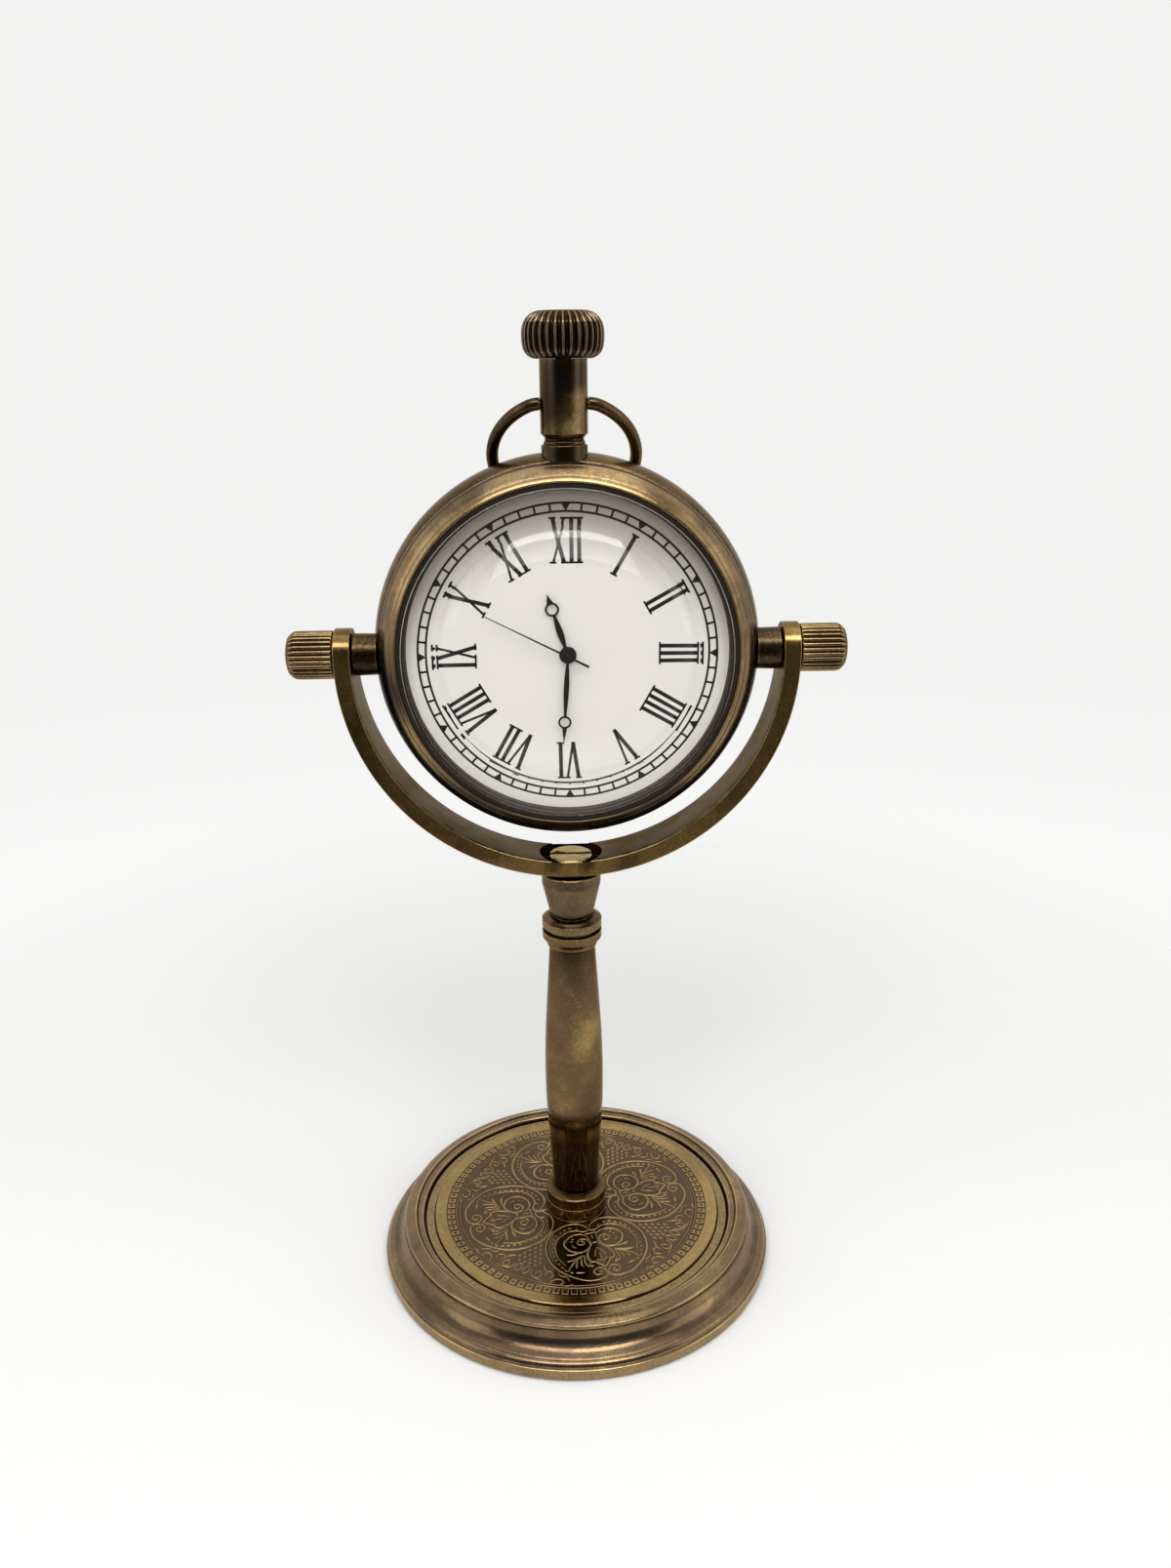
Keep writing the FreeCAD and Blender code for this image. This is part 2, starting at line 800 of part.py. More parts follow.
def make_crystal_gasket():
    return wheel_tube(bezel_bore_radius, crystal_radius, crystal_back - gasket_height, crystal_back)


def make_dial_flange():
    outer = band_bore_radius - 2 * seat_clearance
    return turned(
        "Y",
        (outer, flange_front),
        (bezel_shelf_radius, flange_front),
        (flange_inner_radius, dial_front),
        (outer, dial_front),
    )


def make_dial():
    outer = band_bore_radius - 2 * seat_clearance
    return wheel_tube(outer, dial_hole_radius, dial_front, dial_back)


def rounded_block(width, height, front, back):
    """The movement's outline: a block with rounded corners."""
    block = box_y(width, height, front, back)
    upright = [edge for edge in block.Edges if abs(edge.tangentAt(edge.FirstParameter).y) > 0.9]
    return block.makeFillet(movement_corner_radius, upright)


def make_movement_ring():
    outer = band_bore_radius - 2 * seat_clearance
    ring = along_y(outer, dial_back, cover_lip_front)
    opening = rounded_block(
        movement_width + 2 * movement_ring_clearance,
        movement_height + 2 * movement_ring_clearance,
        dial_back - 1,
        cover_lip_front + 1,
    )
    bore = rod(
        movement_ring_bore_radius, Vector(0, 0, pivot_z), Vector(0, 0, pivot_z + band_bore_radius)
    )
    return ring.cut(opening).cut(bore)


def make_back_cover():
    lip = band_bore_radius - seat_clearance
    rim = band_back_radius - cover_rim_inset
    shoulder = case_back + cover_shoulder_height
    apex = shoulder + cover_dome
    dome_bulge = arc_rise(cover_shoulder_radius, cover_dome)
    inner_radius = lip - cover_lip_width
    inner_dome = arc_rise(inner_radius, cover_dome)
    return turned(
        "Y",
        (lip, cover_lip_front),
        (lip, case_back),
        (rim, case_back),
        (cover_shoulder_radius, shoulder, -cover_shoulder_bulge),
        (0, apex, -dome_bulge),
        (0, apex - cover_thickness),
        (inner_radius, shoulder - cover_thickness, inner_dome),
        (inner_radius, cover_lip_front),
    )


# ---------------------------------------------------------------- pendant, crown, bow
def make_pendant_ring():
    ring = rod(
        pendant_ring_radius,
        Vector(0, 0, pivot_z + band_bore_radius),
        Vector(0, 0, pendant_ring_top_z),
    )
    spigot = rod(
        neck_spigot_radius + seat_clearance,
        Vector(0, 0, pivot_z),
        Vector(0, 0, pendant_ring_top_z),
    )
    return ring.cut(band_outside()).cut(spigot)


def make_pendant_neck():
    bore = stem_radius + stem_bore_clearance
    foot = pivot_z + band_bore_radius + seat_clearance
    bead_top = pendant_ring_top_z + neck_bead_height
    waist_top = bead_top + neck_waist_height
    neck = turned(
        "Z",
        (bore, foot),
        (neck_spigot_radius, foot),
        (neck_spigot_radius, pendant_ring_top_z),
        (neck_bead_radius, pendant_ring_top_z),
        (neck_bead_radius, bead_top),
        (neck_waist_radius, bead_top),
        (neck_waist_radius, waist_top),
        (neck_radius, waist_top + neck_chamfer),
        (neck_radius, neck_top_z),
        (bore, neck_top_z),
    )
    for side in (-1, 1):
        hole = rod(
            bow_pin_radius + running_clearance,
            Vector(side * (neck_radius - bow_pin_depth - running_clearance), 0, bow_pivot_z),
            Vector(side * 2 * neck_radius, 0, bow_pivot_z),
        )
        neck = neck.cut(hole)
    return neck


def make_crown():
    """An onion crown: ridged levels of one outline, scaled to the profile, so every facet is flat."""
    levels = []
    for radius_share, height_share in crown_profile:
        ridge = crown_radius * radius_share
        floor = ridge - crown_flute_depth * radius_share
        outline = toothed_outline(crown_flute_count, ridge, floor, crown_ridge_land)
        z = crown_bottom_z + crown_height * height_share
        levels.append([Vector(x, y, z) for x, y in outline])
    faces = [
        Part.Face(Part.makePolygon(levels[0] + levels[0][:1])),
        Part.Face(Part.makePolygon(levels[-1] + levels[-1][:1])),
    ]
    for low, high in zip(levels, levels[1:]):
        for index in range(len(low)):
            after = (index + 1) % len(low)
            corners = [low[index], low[after], high[after], high[index], low[index]]
            faces.append(Part.Face(Part.makePolygon(corners)))
    crown = Part.Solid(Part.Shell(faces))
    bore_top = crown_bottom_z + crown_bore_depth
    return crown.cut(rod(stem_radius, Vector(0, 0, crown_bottom_z), Vector(0, 0, bore_top)))


def make_setting_stem():
    tip_bottom = pivot_z + stem_reach
    tip_top = tip_bottom + stem_tip_length
    top = crown_bottom_z + crown_bore_depth
    tip = rod(stem_tip_radius, Vector(0, 0, tip_bottom), Vector(0, 0, tip_top))
    return clean(tip.fuse(rod(stem_radius, Vector(0, 0, tip_top), Vector(0, 0, top))))


def make_setting_pinion():
    bottom = pivot_z + pinion_bottom
    top = bottom + pinion_height
    bore = stem_tip_radius + running_clearance
    return turned("Z", (bore, bottom), (pinion_radius, bottom), (pinion_radius, top), (bore, top))


def make_bow():
    end_x = neck_radius + bow_wire_radius + bow_side_gap
    centre_drop = math.sqrt(bow_ring_radius ** 2 - end_x ** 2)
    centre = Vector(0, 0, -centre_drop)
    start = Vector(end_x, 0, 0)
    lowest = Vector(0, 0, -centre_drop - bow_ring_radius)
    path = Part.Wire([Part.Arc(start, lowest, Vector(-end_x, 0, 0)).toShape()])
    tangent = (start - centre).cross(Y)
    section = Part.Wire([Part.Circle(start, tangent, bow_wire_radius).toShape()])
    bow = path.makePipeShell([section], True, True)
    for side in (-1, 1):
        end = Vector(side * end_x, 0, 0)
        tip = Vector(side * (neck_radius - bow_pin_depth), 0, 0)
        bow = bow.fuse(Part.makeSphere(bow_wire_radius, end)).fuse(rod(bow_pin_radius, tip, end))
    bow.rotate(Vector(0, 0, 0), X, bow_lean)
    bow.translate(Vector(0, 0, bow_pivot_z))
    return clean(bow)


# ---------------------------------------------------------------- hands
def hand_with_eye(length, eye_distance, eye_radius, hub_radius, bore, width, front, angle):
    """A hand with a leaf-shaped blade, an open eye and a fine point."""
    back = front + hand_thickness
    neck = hand_neck_width / 2
    half = width / 2
    swell = (hub_radius + eye_distance - eye_radius) * 0.42
    eye_in = eye_radius - hand_eye_wall
    blade = flat_piece(
        [
            (-neck, 0),
            (-half, swell),
            (-neck, eye_distance - eye_in),
            (neck, eye_distance - eye_in),
            (half, swell),
            (neck, 0),
        ],
        front,
        back,
    )
    point_foot = eye_distance + eye_in
    point = flat_piece([(-neck, point_foot), (0, length), (neck, point_foot)], front, back)
    eye = along_y(eye_radius, front, back, 0, eye_distance)
    hub = along_y(hub_radius, front, back)
    hand = blade.fuse(point).fuse(eye).fuse(hub)
    hand = hand.cut(along_y(eye_in, front, back, 0, eye_distance)).cut(along_y(bore, front, back))
    return turn_hand(clean(hand), angle)


def turn_hand(hand, angle):
    """Turns a hand clockwise, seen from the front, from twelve o'clock."""
    hand.rotate(Vector(0, 0, pivot_z), Y, angle)
    return hand


def make_hour_hand():
    return hand_with_eye(
        hour_length,
        hour_eye_distance,
        hour_eye_radius,
        hour_hub_radius,
        hour_pipe_outer_radius,
        hour_hand_width,
        hour_hand_y,
        hour_angle,
    )


def make_minute_hand():
    return hand_with_eye(
        minute_length,
        minute_eye_distance,
        minute_eye_radius,
        minute_hub_radius,
        cannon_outer_radius,
        minute_hand_width,
        minute_hand_y,
        minute_angle,
    )


def make_second_hand():
    back = second_hand_y + hand_thickness
    half = second_width / 2
    tail_half = second_tail_width / 2
    needle = flat_piece([(-half, 0), (0, second_length), (half, 0)], second_hand_y, back)
    tail = flat_piece(
        [(-half, 0), (half, 0), (tail_half, -second_tail), (-tail_half, -second_tail)],
        second_hand_y,
        back,
    )
    cap = along_y(second_hub_radius, second_hand_y - second_cap_height, back)
    hand = needle.fuse(tail).fuse(cap).cut(along_y(second_arbor_radius, second_hand_y, back))
    return turn_hand(clean(hand), second_angle)


# ---------------------------------------------------------------- movement
third_place = polar(second_pinion_radius + third_wheel_radius + mesh_gap, third_wheel_direction)
minute_place = polar(cannon_leaf_radius + minute_wheel_radius + mesh_gap, minute_wheel_direction)
intermediate_distance = intermediate_pinion_radius + second_wheel_radius + mesh_gap
intermediate_place = polar(intermediate_distance, motor_direction)
rotor_distance = intermediate_distance + intermediate_wheel_radius + rotor_pinion_radius + mesh_gap
rotor_place = polar(rotor_distance, motor_direction)
train_places = (third_place, intermediate_place, rotor_place)

centre_wheel_y = main_plate_back + 0.15
intermediate_wheel_y = centre_wheel_y + 0.4
third_wheel_y = centre_wheel_y + 0.75
second_wheel_y = centre_wheel_y + 1.2
minute_wheel_y = main_plate_front - wheel_thickness - face_gap
hour_wheel_y = minute_wheel_y - wheel_thickness - 2 * face_gap
pillars = [(x, z) for x in (-pillar_x, pillar_x) for z in (-pillar_z, pillar_z)]


def make_main_plate():
    plate = rounded_block(movement_width, movement_height, main_plate_front, main_plate_back)
    for x, z in pillars:
        plate = plate.fuse(along_y(pillar_radius, main_plate_back, bridge_front, x, z))
    post_front = hour_wheel_y
    plate = plate.fuse(along_y(arbor_radius, post_front, main_plate_front, *minute_place))
    plate = plate.cut(along_y(cannon_outer_radius + running_clearance, main_plate_front, main_plate_back))
    for x, z in train_places:
        plate = plate.cut(along_y(pivot_radius + running_clearance, main_plate_front, main_plate_back, x, z))
    for x, z in pillars:
        screw_front = bridge_back - movement_screw_length
        plate = plate.cut(along_y(movement_screw_radius, screw_front, bridge_front, x, z))
    slot_top = pivot_z + movement_height
    slot = rod(
        stem_tip_radius + stem_slot_clearance,
        Vector(0, 0, pivot_z + stem_reach - stem_slot_clearance),
        Vector(0, 0, slot_top),
    )
    window = rod(
        pinion_radius + stem_slot_clearance,
        Vector(0, 0, pivot_z + pinion_bottom - face_gap),
        Vector(0, 0, pivot_z + pinion_bottom + pinion_height + face_gap),
    )
    return plate.cut(slot).cut(window)


def make_train_bridge():
    bridge = rounded_block(movement_width, movement_height, bridge_front, bridge_back)
    bridge = bridge.cut(
        along_y(battery_radius + seat_clearance, bridge_front, bridge_back, battery_x, battery_z)
    )
    holes = [(0.0, 0.0)] + list(train_places)
    for x, z in holes:
        bridge = bridge.cut(along_y(pivot_radius + running_clearance, bridge_front, bridge_back, x, z))
    for x, z in pillars:
        bridge = bridge.cut(along_y(movement_screw_radius + seat_clearance, bridge_front, bridge_back, x, z))
    return bridge


def make_movement_screws():
    screws = []
    for x, z in pillars:
        tip = bridge_back - movement_screw_length
        shank = along_y(movement_screw_radius, tip, bridge_back, x, z)
        head_back = bridge_back + movement_screw_head_height
        head = along_y(movement_screw_head_radius, bridge_back, head_back, x, z)
        screws.append(clean(shank.fuse(head)))
    return Part.makeCompound(screws)


def make_battery():
    back = main_plate_back + battery_height
    return along_y(battery_radius, main_plate_back, back, battery_x, battery_z)


def make_coil():
    start = coil_x - coil_length / 2
    end = coil_x + coil_length / 2
    centre_y = main_plate_back + coil_cheek_radius
    z = pivot_z + coil_z
    coil = rod(coil_radius, Vector(start, centre_y, z), Vector(end, centre_y, z))
    for first, last in ((start, start + coil_cheek_thickness), (end - coil_cheek_thickness, end)):
        coil = coil.fuse(rod(coil_cheek_radius, Vector(first, centre_y, z), Vector(last, centre_y, z)))
    return clean(coil)


def make_stator():
    front = main_plate_back + 2 * coil_cheek_radius
    back = front + stator_thickness
    hole_x, hole_z = rotor_place
    plate = flat_piece(
        [
            (coil_x - coil_length / 2, coil_z - stator_foot),
            (coil_x + coil_length / 2, coil_z - stator_foot),
            (coil_x + coil_length / 2, coil_z + stator_foot),
            (hole_x + stator_width / 2, hole_z + stator_head),
            (hole_x - stator_width / 2, hole_z + stator_head),
            (coil_x - coil_length / 2, coil_z + stator_foot),
        ],
        front,
        back,
    )
    return plate.cut(along_y(stator_hole_radius, front, back, hole_x, hole_z))


def make_circuit_board():
    back = bridge_front
    return box_y(board_width, board_height, back - board_thickness, back, board_x, board_z)


def geared(place_xz, wheel_radius, wheel_y, pinion, arbor=arbor_radius):
    """A wheel with its pinion and pivots in both plates. The pinion runs from front to back."""
    x, z = place_xz
    pinion_size, pinion_front, pinion_back = pinion
    wheel = along_y(wheel_radius, wheel_y, wheel_y + wheel_thickness, x, z)
    leaves = along_y(pinion_size, pinion_front, pinion_back, x, z)
    shaft = along_y(arbor, main_plate_back + face_gap, bridge_front - face_gap, x, z)
    pivots = along_y(pivot_radius, main_plate_front + face_gap, bridge_back, x, z)
    return clean(wheel.fuse(leaves).fuse(shaft).fuse(pivots))


def make_third_wheel():
    pinion = (third_pinion_radius, centre_wheel_y - face_gap, third_wheel_y)
    return geared(third_place, third_wheel_radius, third_wheel_y, pinion)


def make_intermediate_wheel():
    pinion = (intermediate_pinion_radius, second_wheel_y - face_gap, second_wheel_y + wheel_thickness)
    return geared(intermediate_place, intermediate_wheel_radius, intermediate_wheel_y, pinion)


def make_rotor():
    pinion = (rotor_pinion_radius, intermediate_wheel_y - face_gap, intermediate_wheel_y + 0.25)
    magnet_front = intermediate_wheel_y + 0.3
    rotor = geared(rotor_place, rotor_pinion_radius, intermediate_wheel_y, pinion)
    return clean(rotor.fuse(along_y(rotor_radius, magnet_front, magnet_front + rotor_height, *rotor_place)))


def make_seconds_wheel():
    wheel = along_y(second_wheel_radius, second_wheel_y, second_wheel_y + wheel_thickness)
    leaves = along_y(second_pinion_radius, third_wheel_y - face_gap, second_wheel_y)
    arbor = along_y(second_arbor_radius, second_hand_y, bridge_front - face_gap)
    pivot = along_y(pivot_radius, second_wheel_y, bridge_back)
    return clean(wheel.fuse(leaves).fuse(arbor).fuse(pivot))


def make_centre_wheel():
    wheel = along_y(centre_wheel_radius, centre_wheel_y, centre_wheel_y + wheel_thickness)
    cannon = along_y(cannon_outer_radius, minute_hand_y, centre_wheel_y)
    leaves = along_y(cannon_leaf_radius, minute_wheel_y, main_plate_front - face_gap)
    bore = second_arbor_radius + running_clearance
    wheel = wheel.fuse(cannon).fuse(leaves)
    return clean(wheel.cut(along_y(bore, minute_hand_y, centre_wheel_y + wheel_thickness)))


def make_minute_wheel():
    x, z = minute_place
    wheel = along_y(minute_wheel_radius, minute_wheel_y, minute_wheel_y + wheel_thickness, x, z)
    leaves = along_y(minute_pinion_radius, hour_wheel_y, minute_wheel_y, x, z)
    bore = arbor_radius + running_clearance
    return clean(wheel.fuse(leaves).cut(along_y(bore, hour_wheel_y, minute_wheel_y + wheel_thickness, x, z)))


def make_hour_wheel():
    wheel = along_y(hour_wheel_radius, hour_wheel_y, hour_wheel_y + wheel_thickness)
    pipe = along_y(hour_pipe_outer_radius, hour_hand_y, hour_wheel_y)
    bore = cannon_outer_radius + running_clearance
    return clean(wheel.fuse(pipe).cut(along_y(bore, hour_hand_y, hour_wheel_y + wheel_thickness)))


# ---------------------------------------------------------------- all pieces
pieces = {
    "felt_pad": make_felt_pad(),
    "base_body": make_base_body(),
    "base_plate": make_base_plate(),
    "base_stud": make_base_stud(),
    "base_washer": make_base_washer(),
    "base_nut": make_base_nut(),
    "foot_collar": make_foot_collar(),
    "column": make_column(),
    "yoke_cup": make_yoke_cup(),
    "yoke": make_yoke(),
    "yoke_screw": make_yoke_screw(),
    "left_thumb_screw": make_thumb_screw(-1),
    "right_thumb_screw": make_thumb_screw(1),
    "left_case_boss": make_case_boss(-1),
    "right_case_boss": make_case_boss(1),
    "case_band": make_case_band(),
    "bezel": make_bezel(),
    "crystal": make_crystal(),
    "crystal_gasket": make_crystal_gasket(),
    "dial_flange": make_dial_flange(),
    "dial": make_dial(),
    "movement_ring": make_movement_ring(),
    "back_cover": make_back_cover(),
    "pendant_ring": make_pendant_ring(),
    "pendant_neck": make_pendant_neck(),
    "crown": make_crown(),
    "setting_stem": make_setting_stem(),
    "setting_pinion": make_setting_pinion(),
    "bow": make_bow(),
    "hour_hand": make_hour_hand(),
    "minute_hand": make_minute_hand(),
    "second_hand": make_second_hand(),
    "main_plate": make_main_plate(),
    "train_bridge": make_train_bridge(),
    "movement_screws": make_movement_screws(),
    "battery": make_battery(),
    "coil": make_coil(),
    "stator": make_stator(),
    "circuit_board": make_circuit_board(),
    "third_wheel": make_third_wheel(),
    "intermediate_wheel": make_intermediate_wheel(),
    "rotor": make_rotor(),
    "seconds_wheel": make_seconds_wheel(),
    "centre_wheel": make_centre_wheel(),
    "minute_wheel": make_minute_wheel(),
    "hour_wheel": make_hour_wheel(),
}

for node, shape in pieces.items():
    shape.exportStep("parts/" + node + ".step")
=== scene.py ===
import math

import bpy
import numpy as np
from mathutils import Matrix, Vector
from mathutils.geometry import delaunay_2d_cdt


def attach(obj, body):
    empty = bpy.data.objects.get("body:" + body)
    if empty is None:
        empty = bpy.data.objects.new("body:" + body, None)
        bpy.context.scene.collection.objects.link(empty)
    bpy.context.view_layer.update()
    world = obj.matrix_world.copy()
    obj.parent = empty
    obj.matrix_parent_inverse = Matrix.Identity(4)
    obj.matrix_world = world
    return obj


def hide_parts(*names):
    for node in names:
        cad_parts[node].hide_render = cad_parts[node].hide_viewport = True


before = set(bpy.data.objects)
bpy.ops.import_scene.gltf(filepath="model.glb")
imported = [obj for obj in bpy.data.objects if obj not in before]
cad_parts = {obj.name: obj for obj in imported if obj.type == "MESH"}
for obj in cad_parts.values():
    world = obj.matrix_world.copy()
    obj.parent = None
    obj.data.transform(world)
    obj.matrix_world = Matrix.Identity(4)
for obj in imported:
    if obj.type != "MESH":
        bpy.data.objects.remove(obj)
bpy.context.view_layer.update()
MM = 0.001

# Heights, depths and radii of the solids, in millimetres.
PIVOT = 92.3
PLATE = 6.1
CONE_FOOT, CONE_TOP = 10.0, 23.85
YOKE_R, YOKE_T, YOKE_W = 30.0, 2.16, 6.9
YOKE_C, YOKE_FLOOR = 91.75, 63.91
KNOB_SEAT, BOSS_FACE = 30.05, 27.70
CASE_BACK, GLASS_BACK, DIAL_FRONT = 4.9, -3.9, -1.9
NUMERAL_IN, NUMERAL_OUT = 11.8, 17.35
TRACK_IN, TRACK_OUT, TRACK_HALF = 18.05, 19.08, 0.14
CROWN_FOOT, BOW_Z = 128.345, 123.095
BOW_R, BOW_WIRE, BOW_END = 9.2, 0.775, 3.83
BEAD_R = 19.06

ORNAMENT_TURN, BOW_LEAN = 15.6, 38.5
CROWN_RIDGES, KNOB_FLUTES, PLATE_BEADS = 32, 28, 94

# The body and the finish that most pieces share.
STAND, PLATE_TOP, CASE = ("stand", "brass_stand"), ("stand", "brass_plate"), ("watch", "brass_case")


# ---- outlines
def arc(p, q, bulge, steps):
    """Points after p up to q on an arc that bulges to the left of the way from p to q."""
    p, q = np.array(p, float), np.array(q, float)
    run = np.linalg.norm(q - p)
    left = np.array([-(q - p)[1], (q - p)[0]]) / run
    radius = (run * run / 4 + bulge * bulge) / (2 * abs(bulge))
    centre = (p + q) / 2 + left * (bulge - math.copysign(radius, bulge))
    a0 = math.atan2(*(p - centre)[::-1])
    turn = 2 * math.asin(min(1.0, run / 2 / radius))
    if abs(bulge) > radius:
        turn = 2 * math.pi - turn
    turn = -math.copysign(turn, bulge)
    return [centre + radius * np.array([math.cos(a0 + turn * k / steps), math.sin(a0 + turn * k / steps)])
            for k in range(1, steps + 1)]


def rounded(points, fillet, steps=4, arc_steps=14):
    """A closed outline of (r, h) or (r, h, bulge) points with its corners rounded.
    Gives the points, their outward normals, the edge value (1 convex, -1 hollow) and the run along it."""
    dense, corner = [], []
    n = len(points)
    for i in range(n):
        a, b = points[i], points[(i + 1) % n]
        if len(b) > 2 and abs(b[2]) > 1e-9:
            part = arc(a[:2], b[:2], b[2], arc_steps)
        else:
            part = [np.array(b[:2], float)]
        for k, p in enumerate(part):
            dense.append(p)
            corner.append(k == len(part) - 1)
    dense = np.array(dense)
    area = 0.5 * np.sum(dense[:, 0] * np.roll(dense[:, 1], -1) - np.roll(dense[:, 0], -1) * dense[:, 1])
    side = 1.0 if area > 0 else -1.0
    out, normals, edges = [], [], []
    count = len(dense)
    for i in range(count):
        p, before, after = dense[i], dense[i - 1], dense[(i + 1) % count]
        d0, d1 = p - before, after - p
        l0, l1 = np.linalg.norm(d0), np.linalg.norm(d1)
        d0, d1 = d0 / l0, d1 / l1
        cross = d0[0] * d1[1] - d0[1] * d1[0]
        bend = math.atan2(cross, d0 @ d1)
        if corner[i] and abs(bend) > 0.12 and p[0] > 1e-6:
            cut = min(fillet, 0.45 * l0, 0.45 * l1)
            for k in range(steps + 1):
                t = k / steps
                start, end = p - d0 * cut, p + d1 * cut
                out.append((1 - t) ** 2 * start + 2 * t * (1 - t) * p + t * t * end)
                d = (1 - t) * d0 + t * d1
                d = d / np.linalg.norm(d)
                normals.append(np.array([d[1], -d[0]]) * side)
                worn = math.copysign(min(1.0, abs(bend) / 1.2), cross * side)
                edges.append(worn * math.sin(math.pi * (0.15 + 0.7 * t)))
        else:
            d = d0 + d1
            if p[0] <= 1e-6:
                d = d1 if before[0] <= 1e-6 else d0
            d = d / np.linalg.norm(d)
            out.append(p)
            normals.append(np.array([d[1], -d[0]]) * side)
            edges.append(0.0)
    out, normals = np.array(out), np.array(normals)
    run = np.concatenate([[0], np.cumsum(np.linalg.norm(np.diff(out, axis=0), axis=1))])
    return out, normals, np.array(edges), run


# ---- meshes
def build(name, verts, faces, normals=None, turn=None, edge=None, smooth=True, tone=None):
    """A mesh object from points in millimetres, with its attributes for the materials."""
    mesh = bpy.data.meshes.new(name)
    mesh.from_pydata([tuple(v) for v in np.asarray(verts, float) * MM], [], faces)
    mesh.update()
    if smooth:
        mesh.polygons.foreach_set("use_smooth", [True] * len(mesh.polygons))
    if turn is not None:
        layer = mesh.attributes.new("turn", "FLOAT_VECTOR", "POINT")
        layer.data.foreach_set("vector", np.asarray(turn, np.float32).ravel())
    for key, values in (("edge", edge), ("tone", tone)):
        layer = mesh.attributes.new(key, "FLOAT", "POINT")
        if values is not None:
            layer.data.foreach_set("value", np.asarray(values, np.float32).ravel())
    if normals is not None:
        mesh.normals_split_custom_set_from_vertices([tuple(v) for v in normals])
    obj = bpy.data.objects.new(name, mesh)
    bpy.context.scene.collection.objects.link(obj)
    return obj


def join(a, b, closed=True):
    """Four-sided faces between two rows of points, given by their numbers."""
    n = len(a)
    return [[a[k], a[(k + 1) % n], b[(k + 1) % n], b[k]] for k in range(n if closed else n - 1)]


def on_axis(axis, r, h, a):
    """Points of a turned piece: r and h from its outline, a the angle round the axis."""
    c, s = np.cos(a), np.sin(a)
    if axis == "Z":
        return np.stack([r * c, r * s, h + 0 * c], -1)
    if axis == "Y":
        return np.stack([r * c, h + 0 * c, PIVOT + r * s], -1)
    return np.stack([h + 0 * c, r * c, PIVOT + r * s], -1)


def turned(name, points, axis="Z", segments=160, fillet=0.1, steps=4, arc_steps=14, ripple=None, tone=None):
    """A piece turned from a closed outline. ripple(angle, r, h, edge) gives the radius and edge value of a
    fluted one, and tone(r, h) how dark (-1) or rubbed (1) the surface is painted: patina and wear, and
    painted shade under the crown."""
    outline, normals2, edges, run = rounded(points, fillet, steps, arc_steps)
    angle = np.arange(segments) * 2 * math.pi / segments
    origin = [0, 0, 0 if axis == "Z" else PIVOT]
    verts, norms, turns, edge_values, tones, index = [], [], [], [], [], []
    total = 0
    for (r, h), (nr, nh), edge, along in zip(outline, normals2, edges, run):
        count = segments if r > 1e-6 else 1
        tones.append(np.full(count, tone(r, h) if tone else 0.0))
        if count == 1:
            verts.append(on_axis(axis, np.zeros(1), h, np.zeros(1)))
            norms.append(on_axis(axis, np.zeros(1), nh, np.zeros(1)) - origin)
            turns.append([[along, 0, 0]])
            edge_values.append([0.0])
            index.append([total] * segments)
        else:
            radius, value = np.full(segments, r), np.full(segments, edge)
            if ripple:
                radius, value = ripple(angle, r, h, edge)
            verts.append(on_axis(axis, radius, h, angle))
            norms.append(on_axis(axis, np.full(segments, nr), nh, angle) - origin)
            turns.append(np.stack([np.full(segments, along), np.cos(angle), np.sin(angle)], -1))
            edge_values.append(value)
            index.append(list(range(total, total + segments)))
        total += count
    faces = []
    for a, b in zip(index, index[1:] + index[:1]):
        if a[0] == a[-1] and b[0] == b[-1]:
            continue
        faces += [list(dict.fromkeys(face)) for face in join(a, b)]
    verts, norms = np.concatenate(verts), np.concatenate(norms)
    custom = None if ripple else norms
    return build(name, verts, oriented(verts, norms, faces), custom, np.concatenate(turns),
                 np.concatenate(edge_values), tone=np.concatenate(tones))


def oriented(verts, norms, faces):
    """Turns faces over where they look against their points' normals."""
    out = []
    for face in faces:
        a, b, c = verts[face[0]], verts[face[1]], verts[face[2]]
        n = np.cross(b - a, c - a)
        if n @ (norms[face[0]] + norms[face[1]] + norms[face[2]]) < 0:
            face = face[::-1]
        out.append(face)
    return out


def loop_normals(loop):
    """Outward normals of a closed counterclockwise loop of 2D points."""
    d = np.roll(loop, -1, 0) - loop
    d /= np.linalg.norm(d, axis=1)[:, None]
    t = d + np.roll(d, 1, 0)
    t /= np.maximum(np.linalg.norm(t, axis=1), 1e-9)[:, None]
    return np.stack([t[:, 1], -t[:, 0]], 1)


def fill(loops, inside, extra=()):
    """Triangles of the region inside the first loop and outside the others, with extra points in it."""
    points, edges = [], []
    for loop in loops:
        start = len(points)
        points += [tuple(p) for p in loop]
        edges += [(start + k, start + (k + 1) % len(loop)) for k in range(len(loop))]
    points += [tuple(p) for p in extra]
    out = delaunay_2d_cdt([Vector(p) for p in points], edges, [], 0, 1e-6)
    found = np.array([tuple(v) for v in out[0]])
    tris = [f for f in out[2] if inside(found[list(f)].mean(0))]
    return found, tris


